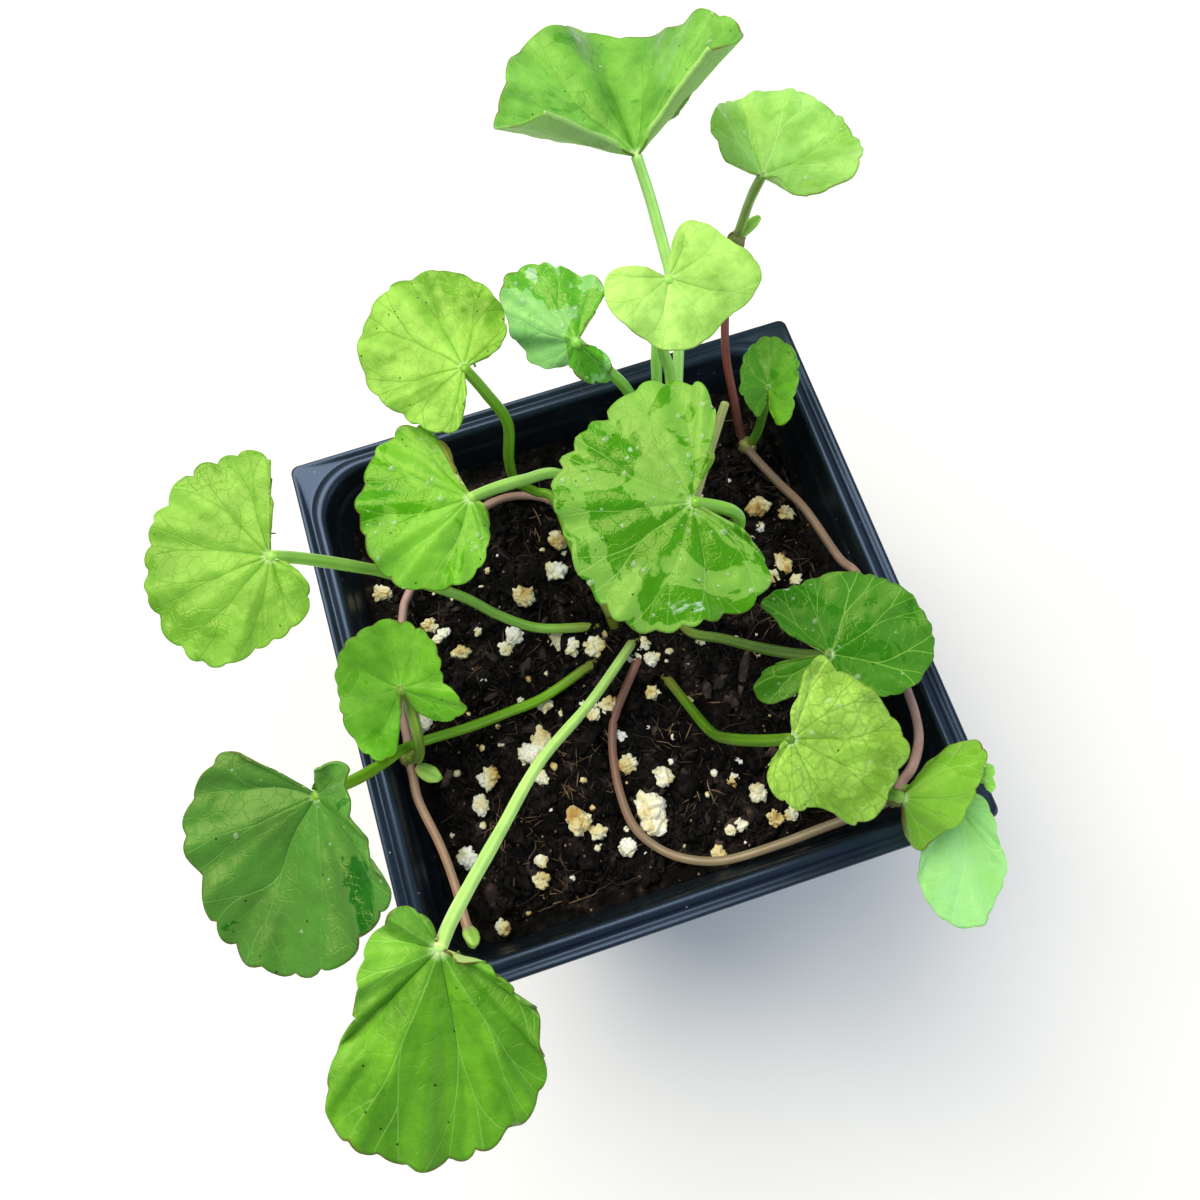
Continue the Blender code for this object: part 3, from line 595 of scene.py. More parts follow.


# Each stalk: its route, and its skin's crest and furrow colours, painted light and shade on the ribs. Its
# foot is olive, and pale where light misses it.
PETIOLES = {
    "north": (
        [(11.2, 11, -8), (11.5, 13, 0), (16, 22, 10), (21, 33, 20), (23.5, 42.5, 28), (23.5, 54, 36)],
        "#B4EA80", "#8CCB55",
    ),
    "funnel": ([(43.3, 61.3, 15.8), (44.2, 61.8, 20), (44.6, 61.3, 24)], "#98BC58", "#749A3A"),
    "heart": (
        [(8.9, 12.5, -8), (9.8, 14, 5), (15, 20.5, 18), (18, 29, 28), (17.5, 32, 33), (17.8, 34, 39)],
        "#9AD658", "#7ABA3E",
    ),
    "northwest": (
        [
            (-0.8, 7.2, -8.6), (-3, 19, -6.8), (-3.8, 29.5, -5), (-7, 32, -4), (-9.8, 32.5, 2),
            (-10, 31.5, 13), (-8.5, 33, 23), (-10.5, 35, 31),
        ],
        "#7CB626", "#5C9816",
    ),
    "wet": (
        [(3.7, 12.3, -8), (6, 17, -3), (10, 24.5, 5), (12, 29, 13.5), (12, 31.5, 23), (7.5, 33, 33)],
        "#8ACA4C", "#6CB032",
    ),
    "corner": ([(36.4, 28.9, -3.6), (37, 29.2, 0), (37.8, 30.6, 5)], "#5A9028", "#406E16"),
    "centre": (
        [(12.9, 5.4, -8), (15, 3.5, 4), (18, 2.5, 20), (19, 1.8, 31), (17.5, 2.6, 36)],
        "#7CBA34", "#5C9A20",
    ),
    "inner_west": (
        [(1.2, 10.9, -7.8), (2.4, 17, -1), (1.3, 22.5, 8), (-3, 25, 16), (-9, 22.5, 23), (-14, 20.7, 27)],
        "#A4DA66", "#7EB83C",
    ),
    "west": (
        [
            (-5, 5), (-14, 7, -8), (-20, 9.5, -1), (-25, 12.5, 7), (-34, 16, 18), (-37, 16, 24),
            (-42, 15, 35.5),
        ],
        "#9CD458", "#7AAC34",
    ),
    "runner_west": (
        [(-41.6, -10, -2.8), (-40.2, -10.8, 0.3), (-38.8, -10, 4.5), (-37.8, -7.8, 9), (-37.5, -3.5, 11)],
        "#86A83A", "#668228",
    ),
    "southwest": (
        [
            (-8, -2.5), (-17, -5.5, -9.5), (-23.5, -6.5, -7.5), (-31, -7.5, -4.5), (-38.5, -7.9, -1.8),
            (-42, -8.8, 1.5), (-44.9, -11.5, 8.5), (-46.2, -14.3, 19), (-46.2, -16.8, 31),
        ],
        "#7EB820", "#629A10",
    ),
    "south": (
        [(2, -0.5), (-9, -11, 2), (-19.5, -20, 16), (-27, -29, 27), (-33.5, -37.5, 39)],
        "#C2EE88", "#9ACB58",
    ),
    "east": (
        [(11.1, 1.9, -8), (12, -3.5, -4), (16, -8, 3), (20, -12.5, 9), (25, -16.7, 14.3)],
        "#789A44", "#52722A",
    ),
    "southeast": (
        [(6, -9.5), (7.5, -16, -6), (8.5, -22.5, 3), (10, -25.5, 12), (13.3, -28, 20)],
        "#5C8C1C", "#40640E",
    ),
    "folded": ([(32.8, -41.2, 3.5), (31.2, -40.4, 8), (29.9, -40.8, 12.3)], "#86B844", "#689A2C"),
    "pale": ([(35.6, -43.8, 1.2), (37.2, -45, 3.8)], "#8CC644", "#6EA82E"),
    "bud": ([(35.4, -41.8, 3.4), (40, -41.6, 6), (43.5, -42.4, 8.4)], "#8CC644", "#6EA82E"),
}
# Stalks that grow from a runner's joint.
JOINT_OF = {
    "funnel": "node_north", "corner": "node_east", "runner_west": "node_west",
    "folded": "node_south", "pale": "node_south", "bud": "node_south",
}
BLADE_BASES = {
    "north": (22.5, 60, 42), "funnel": (45.5, 61, 28), "heart": (19, 35, 46), "northwest": (-12.5, 37, 36),
    "wet": (4, 32, 42), "corner": (38.5, 32, 9), "centre": (12, 4, 40), "inner_west": (-17.5, 19, 30),
    "west": (-45, 14, 42), "runner_west": (-37.5, -2, 15), "southwest": (-46, -19, 42),
    "south": (-35.5, -41, 44), "east": (28, -18.5, 18), "southeast": (16, -29.5, 26),
    "folded": (30.5, -42, 16), "pale": (40.5, -45, 8), "bud": (45.5, -43.5, 10),
}


roots = []


def rooted(route):
    """The route with a start that comes up out of the soil."""
    back = (route[0] - route[1]).normalized()
    back.z = 0
    roots.append(route[0])
    buried = route[0] + back * 0.0034 - Vector((0, 0, 0.0042))
    rising = route[0] + back * 0.0016 - Vector((0, 0, 0.0014))
    return [buried, rising] + route


for name, (points, crest, furrow) in PETIOLES.items():
    skin = stem_skin(f"petiole_skin_{name}", crest, furrow, "#6E6A2A", 2.0 if name in JOINT_OF else 9.0)
    route = [spot_at(point, PETIOLE) for point in points]
    if name in JOINT_OF:
        low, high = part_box(JOINT_OF[name])
        route.insert(0, (low + high) / 2)
    else:
        route = rooted(route)
    join = spot_at(BLADE_BASES[name])
    route.append(join - (route[-1] - join).normalized() * 0.0003)
    thin = 0.75 if name in ("bud", "pale") else 1.0
    swell = [thin * share for share in (1.12, 1.0, 0.96, 0.95, 1.0, 0.94)]
    node_name = f"petiole_{name}"
    grow_stem(f"stalk_{name}", route, PETIOLE, STALK_RIBS, RIB_DEPTH, swell, skin, [node_name])

# Two stalks hold no leaf: one has lost its blade, the other was cut and has dried at the tip.
SPENT = [(6.3, 13, -8), (9.8, 17.5, 3), (14.6, 24, 14), (16.8, 32, 24), (17.8, 35.5, 28), (19.5, 38.5, 31)]
CUT = [(12.8, 8.7, -8), (16.5, 13.5, -1), (22.5, 21.5, 5), (27.5, 28, 10), (29.5, 30.5, 12)]
for name, points, slot, crest, furrow in (
    ("stalk_spent", SPENT, "petiole", "#90CE5C", "#74B43E"),
    ("stalk_cut", CUT, "dry_stalk", "#B9BE78", "#8C9450"),
):
    skin = stem_skin(f"{name}_skin", crest, furrow, "#7C7438", 12.0)
    route = rooted([spot_at(point) for point in points])
    swell = [1.1, 1.0, 0.97, 0.95, 0.9, 0.8]
    grow_stem(f"{name}_whole", route, PETIOLE, STALK_RIBS, RIB_DEPTH, swell, skin, [name])

# ---------------------------------------------------------------------------------------------------
# Runners
# Stolons: thin creeping stems that root at their joints. They are pink to red-brown where the sun
# reaches them, and they lie on the soil and over the rim.

RUNNER = 0.00085
# Each runner: its route, its crest and furrow, and the colour and length of its foot.
RUNNERS = {
    "runner_west": (
        [
            (0.5, 16), (-1, 24), (-3.5, 31), (-9, 34.5), (-16, 34, -8), (-27, 30, -8), (-35.5, 21.5, -8),
            (-38, 16.5, -7.5), (-41.8, 3.5, -6.5), (-42.4, -6.2, -6), (-43, -9, -5.5),
        ],
        "#B5938A", "#8E6A60", "#9A7F6C", 30,
    ),
    "runner_west_tip": (
        [
            (-43, -9, -5.5), (-43, -12, -6), (-43.1, -17, -5.5), (-41.5, -25.5, -6), (-40.8, -32.5, -6),
            (-40.5, -38.5, -5), (-40.3, -40.2, -4.5),
        ],
        "#BE9C80", "#96705A", "#A88A76", 10,
    ),
    "runner_south": (
        [
            (1, -5), (-2.5, -9), (-6, -13.5), (-8, -19), (-9, -26), (-8.5, -32.5), (-5.5, -37.5),
            (-1, -41, -8.5), (5, -43, -8), (14, -43.3, -6.5), (22, -43, -5), (27, -42.8, -4),
            (31.5, -42.3, -1), (34, -42, 0.5),
        ],
        "#9A8C70", "#766850", "#805048", 34,
    ),
    "runner_east": (
        [
            (34, -42, 0.5), (36.2, -40.1, -0.2), (39, -38, 0.5), (42, -34.3, -0.5), (43, -30.2, 0),
            (43, -26, 1), (43, -14.5, 3), (42.2, -4.5, 3), (41, 0.2, 1), (39.5, 11.5, -1.5), (37.5, 19, -4),
            (35.3, 26, -5), (35.2, 28.7, -6),
        ],
        "#7E6854", "#5E4638", "#B08C84", 34,
    ),
    "runner_north": (
        [
            (35.2, 28.7, -6), (34.6, 31.5, -4.8), (34.5, 36, 0), (34.5, 42, 5.5), (36, 48, 9.5),
            (38.5, 53.5, 12), (41, 58.3, 12.9), (42.4, 60.6, 13),
        ],
        "#7C4236", "#54241C", "#4A2A20", 8,
    ),
}
for name, (points, crest, furrow, foot, foot_length) in RUNNERS.items():
    skin = stem_skin(f"{name}_skin", crest, furrow, foot, foot_length, 0.40)
    route = [spot_at(point, RUNNER * 1.3) for point in points]
    if name in ("runner_west", "runner_south"):
        route = rooted(route)
    swell = [1.0, 1.0, 0.94, 0.92, 0.94, 1.0, 1.08]
    grow_stem(f"{name}_whole", route, RUNNER, 5, 0.015, swell, skin, [name])

# Crumbs of peat lie round every stem where it comes up.
heaped = []
for root in roots:
    for _ in range(16):
        size = dice.uniform(0.0009, 0.0021)
        turn = dice.uniform(0, math.tau)
        out = dice.uniform(0.0002, 0.0024)
        x, y = root.x + out * math.cos(turn), root.y + out * math.sin(turn)
        heap = crumbled(x, y) + 0.0013 - out * 0.4
        heaped.append(lump((x, y, heap), size, 0.7, dice.uniform(1.0, 1.6), 1.3, 2))
add_piece("peat_at_stems", joined(heaped), [peat])

# Joints and crown: where a runner roots, or the plant's tuft starts, short overlapping sheaths wrap a
# knot of tissue. They are green to brown, and papery where they have died back.
knot_skin = stem_skin("knot_skin", "#8E9450", "#54502A", "#5E3A2A", 2.0, 0.6)
for name in ("node_west", "node_south", "node_east", "node_north", "crown"):
    low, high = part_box(name)
    middle = (low + high) / 2
    size = high - low
    shapes = [lump(middle, size.x * 1.02, size.z / size.x, 1.0, 0.22, 4)]
    sheaths = 11 if name == "crown" else 5
    for k in range(sheaths):
        turn = math.tau * k / sheaths + dice.uniform(-0.3, 0.3)
        out = Vector((math.cos(turn), math.sin(turn), 0)) * size.x * 0.36
        lift = Vector((0, 0, dice.uniform(-0.1, 0.25) * size.z))
        shapes.append(lump(middle + out + lift, size.x * 0.42, 1.5, 0.55, 0.3, 3))
    knot = add_piece(f"{name}_knot", joined(shapes), [knot_skin], [name])
    spots = [vert.co for vert in knot.data.vertices]
    float_attribute(knot.data, "stripe", "FLOAT", [math.sin(2600 * (co.x + co.y)) for co in spots])
    float_attribute(knot.data, "run", "FLOAT", [(co.z - low.z) * 1000 for co in spots])

# Buds: the west runner's new leaf is still rolled, its tip is a closed bud, and so is the north joint's.
bud_skin = stem_skin("young_shoot_skin", "#B4E068", "#7CBC34", "#B9B48A", 1.0, 0.4)
ROLLED = [(-41.9, -11.2, -5.4), (-40.8, -12.2, -5), (-39.3, -13.6, -4.5), (-38.2, -14.8, -4)]
TIP = [(-40.4, -39.8, -4.6), (-40.2, -41, -4), (-39.8, -42.2, -3), (-39.5, -43, -2.2)]
NORTH = [(42.6, 60.8, 13.4), (44.2, 61.1, 14.4), (45.8, 61.5, 15.4), (47.2, 61.9, 16)]
for name, points, swell, stands_for in (
    ("young_leaf", ROLLED, [0.8, 1.7, 1.9, 0.9], ["young_leaf"]),
    ("tip_bud", TIP, [1.1, 1.7, 1.5, 0.7], ["tip_bud"]),
    ("north_bud", NORTH, [0.9, 1.25, 1.3, 0.6], []),
):
    route = [spot_at(point) for point in points]
    grow_stem(f"{name}_shoot", route, RUNNER, 3, 0.16, swell, bud_skin, stands_for, 0.0002)

# ---------------------------------------------------------------------------------------------------
# Leaves
# Round to kidney-shaped blades, thin and a little fleshy, with veins that fan from the petiole and fork
# twice, and a margin of shallow rounded teeth. The surface is glossy, and damp after watering.

BLADE = 0.00036  # thickness
COLUMNS = 230
RINGS = 46
# Where a main vein forks and its branches fork again, as shares of the way, and how wide they part.
FORKS = ((0.46, 0.95), (0.74, 0.90))
# What each leaf's row of traits holds. Lengths are in millimetres, and the rest are shares.
TRAITS = (
    "ribs",  # how many main veins
    "tooth",  # spacing of the margin's teeth
    "notch",  # depth between them
    "skew",  # above 1, the teeth lean to one side
    "pleat",  # how deep the blade folds at the ribs
    "zig",  # how far every second panel between ribs is lifted
    "swing",  # how far the margin swings up and down
    "swings",  # how often
    "panel",  # how much every second panel between ribs is darkened: painted shade of the folds
    "rib_share",  # how strongly the ribs show
    "net_share",  # how strongly the net of fine veins shows
    "specks",  # how common grit is
    "stain",  # how brown the margin is
    "wet",  # how much of the blade is damp
    "pool",  # how much of it carries a painted glare: the light's reflection in standing water
    "waxy",  # how pale the painted sheen of dry wax is
)
# fan: the outline's spokes, as bearings in degrees from +x towards +y. rise: their angle above level.
# veins: their length. tints: the skin's colours round the fan. deep: the darker green of damp skin, of the
# clouds and of the painted shade on every second panel. rib and net: the veins' colours. wax: dry wax,
# painted paler as a sheen. bend: how far the blade curves from base to edge, in degrees.
# curl: how wide the margin folds over at the first and the last spoke.
LEAVES = {
    "north": dict(
        fan=(-2, 12, 41, 54, 73, 87, 100, 123, 144, 168, 190),
        rise=(60, 38, 28, 15, -3, -5, 8, 12, 16, 22, 52),
        veins=(18.5, 22, 22, 20.5, 24.5, 27.5, 25, 24.5, 22, 22, 20),
        tints=("#69AD39", "#75B746", "#68AB33", "#78BC4A", "#6BB03B"), deep="#2A760A", rib="#3F8220",
        net="#5FA63A",
        traits=(7, 7.5, 0.6, 1.2, 0.3, 0.25, 0.3, 6, 0.12, 0.16, 0.08, 0.5, 0.7, 0.35, 0, 0.1),
        curl=(4, 2.8),
    ),
    "funnel": dict(
        fan=(-85, -55, -22, 7, 35, 62, 96, 127, 180),
        rise=(35, 25, 15, 10, 5, 5, 12, 25, 40),
        veins=(9, 14, 16.5, 16.5, 17, 16.5, 14.5, 12.5, 6),
        tints=("#93C863", "#9DD46E", "#9AD16A", "#90C461"), deep="#66A024", rib="#C0EC98", net="#B8E890",
        traits=(7, 3.2, 0.5, 1.2, 0.45, 1.5, 0.4, 8, 0.22, 0.3, 0.1, 0.1, 0.2, 0.2, 0, 0.06),
    ),
    "heart": dict(
        fan=(140, 166, 194, 226, 252, 280, 307, 334, 349, 378, 413, 430),
        rise=(8, 4, 0, -5, -8, -8, -5, 0, 4, 8, 10, 10),
        veins=(8.5, 9.5, 9.5, 9.5, 10.5, 10.5, 10, 12.5, 13, 10.5, 9.5, 7.5),
        tints=("#A5D464", "#AEDE71", "#A7D869", "#A0D060"), deep="#6D9F39", rib="#6FAE30", net="#8CC848",
        traits=(7, 5, 0.3, 1, 0.22, 0.25, 0.3, 5, 0.05, 0.08, 0.06, 0.05, 0.1, 0, 0, 0), bend=-10,
    ),
    "northwest": dict(
        fan=(5, 25, 57, 87, 109, 134, 167, 191, 220, 243, 259),
        rise=(8, 8, 8, 6, 4, 0, -4, -6, -6, -4, 0),
        veins=(6.5, 9, 13.5, 17.5, 19, 18.5, 15.5, 12.5, 11, 10.5, 6.5),
        tints=("#529320", "#77B12C", "#8BC346", "#91C74B", "#8BC346", "#84BB3E"), deep="#47810A",
        rib="#3C7A10", net="#6AAE30",
        traits=(7, 4.8, 0.8, 1.2, 0.35, 0.2, 0.35, 8, 0.06, 0.3, 0.07, 0.8, 0.35, 0.3, 0, 0.06), bend=-10,
    ),
    "wet": dict(
        fan=(38, 48, 73, 94, 111, 128, 143, 154, 205, 240, 292, 309, 325),
        rise=(15, 12, 8, 8, 6, 3, -5, -35, -50, -50, -45, -20, -5),
        veins=(10, 10, 11, 13, 14.5, 13.5, 10.5, 9.5, 4.5, 4.5, 7.5, 7, 5),
        tints=("#51A225", "#5DAA2E", "#63B236", "#54A62A", "#459920"), deep="#3F890D", rib="#A4D678",
        net="#94CC6C", wax="#A8DCA0",
        traits=(7, 3.6, 0.8, 1.3, 0.3, 0.25, 0.35, 8, 0.1, 0.25, 0.12, 0.3, 0.9, 0.7, 0.4, 0.35),
    ),
    "corner": dict(
        fan=(-107, -91, -57, 17, 72, 101, 144, 214, 239),
        rise=(10, 25, 40, 35, 5, 5, 10, 15, 10),
        veins=(10, 10, 6.5, 7, 10, 8, 5.5, 6.5, 8.5),
        tints=("#89D20D", "#6BBA0D", "#37860D", "#2E7D0D", "#32810D"), deep="#276F0A", rib="#8FC65A",
        net="#78B040",
        traits=(7, 3.2, 0.6, 1.2, 0.3, 0.25, 0.3, 6, 0.15, 0.3, 0.1, 0.2, 0.2, 0.5, 0, 0.08),
    ),
    "centre": dict(
        fan=(53, 59, 72, 92, 119, 149, 175, 203, 229, 255, 286, 301, 314),
        rise=(10, 10, 8, 8, 6, 4, 0, -3, -6, -6, -6, -4, 0),
        veins=(13, 15.5, 18.5, 19, 18.5, 20, 18.5, 19, 19.5, 17, 16.5, 14.5, 9),
        tints=("#43900D", "#519C0D", "#3A870D", "#49930D", "#34830D"), deep="#3A7C0A", rib="#A8D470",
        net="#98C860",
        traits=(8, 4.2, 1.35, 1.8, 0.4, 0.3, 0.5, 10, 0.16, 0.24, 0.03, 0.5, 0.3, 0.6, 0.35, 0.26),
        bend=-10,
    ),
    "inner_west": dict(
        fan=(101, 103, 117, 139, 164, 182, 207, 231, 258, 281, 312),
        rise=(10, 8, 6, 4, 2, 0, -5, -8, -8, -5, -3),
        veins=(9.5, 13.5, 16.5, 17, 17.5, 17.5, 17.5, 15, 11.5, 6.5, 3.5),
        tints=("#7CBF1A", "#6BB310", "#5EAC10", "#69B322", "#59A610"), deep="#33820A", rib="#A8D868",
        net="#9CD058",
        traits=(7, 4.4, 0.95, 1.4, 0.4, 0.3, 0.4, 9, 0.1, 0.18, 0.05, 0.6, 0.8, 0.5, 0.12, 0.14), bend=-10,
    ),
    "west": dict(
        fan=(72, 76, 91, 116, 149, 176, 205, 227, 248, 278, 299, 324),
        rise=(15, 15, 12, 8, 4, 0, -4, -6, -8, -8, -5, 0),
        veins=(12.5, 14.5, 15.5, 17, 17.5, 17.5, 17.5, 16.5, 12.5, 10, 8, 4.5),
        tints=("#7AB139", "#80B842", "#7AB139", "#73AC32"), deep="#558C1C", rib="#5F9C26", net="#68A42E",
        traits=(8, 3.8, 1.1, 1.2, 0.35, 0.25, 0.4, 9, 0.08, 0.28, 0.07, 0.3, 0.25, 0.42, 0, 0.06), bend=-8,
    ),
    "runner_west": dict(
        fan=(-68, -59, -36, -28, -7, 27, 71, 110, 134, 175, 224, 240, 248),
        rise=(-25, -20, -12, -5, 0, 5, 5, 0, -3, -10, -20, -22, -28),
        veins=(7.5, 8.5, 11, 10, 7, 8.5, 11, 12, 12, 10.5, 12.5, 12, 10.5),
        tints=("#5AA71E", "#62AF1E", "#6FBF1E", "#7DCD35", "#80D03F"), deep="#448F0A", rib="#97D060",
        net="#80B84C",
        traits=(7, 3.2, 0.7, 1.2, 0.28, 0.3, 0.3, 7, 0.1, 0.25, 0.05, 0.3, 0.8, 0.4, 0, 0.08),
    ),
    "southwest": dict(
        fan=(131, 134, 139, 157, 176, 199, 218, 237, 260, 281, 292, 309, 345, 430),
        rise=(12, 12, 10, 5, 0, -3, -6, -8, -5, 5, 15, 40, 50, 45),
        veins=(5, 10, 13, 15, 17, 17.5, 20.5, 22, 21, 18, 17, 12, 10.5, 6.5),
        tints=("#0D5F0D", "#0D670D", "#156C0D", "#357F1F", "#468B29"), deep="#0A520A", rib="#7DB65A",
        net="#68A048",
        traits=(8, 4.8, 1.1, 1.2, 0.45, 0.7, 0.45, 10, 0.2, 0.16, 0.04, 0.4, 0.5, 0.25, 0.15, 0.12),
    ),
    "south": dict(
        fan=(91, 116, 150, 195, 209, 219, 235, 253, 271, 294, 308, 325),
        rise=(15, 15, 10, 0, -3, -5, -8, -8, -8, -5, 5, 20),
        veins=(3.5, 7, 8, 11.5, 18, 22.5, 23.5, 24, 22.5, 19, 13.5, 9.5),
        tints=("#7FBF43", "#78B73A", "#64A51D", "#569719", "#4F9119"), deep="#2A690A", rib="#A6DC78",
        net="#86BC50",
        traits=(9, 4.4, 1.05, 1.2, 0.45, 1.5, 0.6, 11, 0.42, 0.18, 0.05, 0.6, 0.9, 0.1, 0, 0.03),
    ),
    "east": dict(
        fan=(169, 187, 201, 216, 250, 285, 314, 341, 374, 410, 453, 485, 501),
        rise=(0, -5, -8, -8, -8, -5, -3, 0, 5, 8, 8, 10, 20),
        veins=(11.5, 13.5, 12, 7, 6.5, 7.5, 12.5, 16, 16, 14, 12, 13.5, 8),
        tints=("#418A0D", "#37830D", "#2C770D", "#2C770D", "#347E0D"), deep="#296B0A", rib="#90C850",
        net="#70A838",
        traits=(9, 2.8, 0.5, 1.8, 0.3, 0.25, 0.35, 10, 0.1, 0.45, 0.1, 0.3, 0.3, 0.5, 0.08, 0.05),
    ),
    "southeast": dict(
        fan=(-157, -140, -105, -82, -69, -45, -20, 3, 35, 51, 63),
        rise=(0, -4, -8, -10, -10, -6, -2, 3, 8, 10, 12),
        veins=(3.5, 7, 10, 11, 16, 16, 17, 14.5, 12.5, 13, 10),
        tints=("#82B335", "#95C447", "#99C74E", "#9FCC52", "#A3D158"), deep="#537E18", rib="#577F24",
        net="#5F8E2C",
        traits=(7, 4.8, 0.8, 1.5, 0.4, 0.6, 0.5, 7, 0.12, 0.42, 0.5, 0.3, 0.2, 0.5, 0.1, 0.1), bend=-8,
        net_width=2.6,
    ),
    "folded": dict(
        fan=(-88, -84, -63, -38, -9, 7, 18, 22, 26),
        rise=(-60, -35, -15, -5, 0, -3, -8, -25, -60),
        veins=(6, 9.5, 8.5, 9.5, 12, 15, 15.5, 12, 7),
        tints=("#6CA428", "#75AE30", "#77B132", "#82B728"), deep="#629F1E", rib="#9CCC68", net="#8CBC58",
        traits=(4, 3.8, 0.6, 1.2, 0.35, 0.35, 0.4, 5, 0.15, 0.25, 0.1, 0.2, 1, 0.2, 0, 0.05),
    ),
    "pale": dict(
        fan=(-152, -141, -127, -113, -100, -88, -70, -58, -26, 6),
        rise=(0, -5, -8, -8, -8, -8, -5, -3, 0, 3),
        veins=(7.5, 11, 16, 19, 19.5, 16.5, 12.5, 8.5, 5.5, 4.5),
        tints=("#93D27E", "#9AD989", "#9AD989", "#93D27E"), deep="#8ACC67", rib="#C4F0AE", net="#B4E49C",
        traits=(5, 3.4, 0.5, 1.2, 0.35, 0.3, 0.3, 6, 0.1, 0.3, 0.12, 0.05, 0, 0, 0, 0),
    ),
    "bud": dict(
        fan=(-99, -51, -10, 25, 60),
        rise=(10, 10, 10, 10, 10),
        veins=(2.5, 2, 1.5, 2.5, 3),
        tints=("#8ED850", "#9AE05C", "#8ED850", "#86D048"), deep="#70BE3C", rib="#C8F0A0", net="#B0E080",
        traits=(3, 1.2, 0.2, 1, 0.2, 0.1, 0.1, 4, 0, 0.3, 0.05, 0, 0, 0, 0, 0),
    ),
}


def blade_base(leaf, side, share, reach):
    """A point of the bare blade, from the petiole's end, in millimetres."""
    bearing = math.radians(between(leaf["fan"], side))
    slope = math.radians(between(leaf["rise"], side))
    bend = math.radians(leaf.get("bend", 0))
    if bend:
        out = reach * (math.sin(slope + bend * share) - math.sin(slope)) / bend
        up = reach * (math.cos(slope) - math.cos(slope + bend * share)) / bend
    else:
        out = reach * share * math.cos(slope)
        up = reach * share * math.sin(slope)
    return Vector((out * math.cos(bearing), out * math.sin(bearing), up))


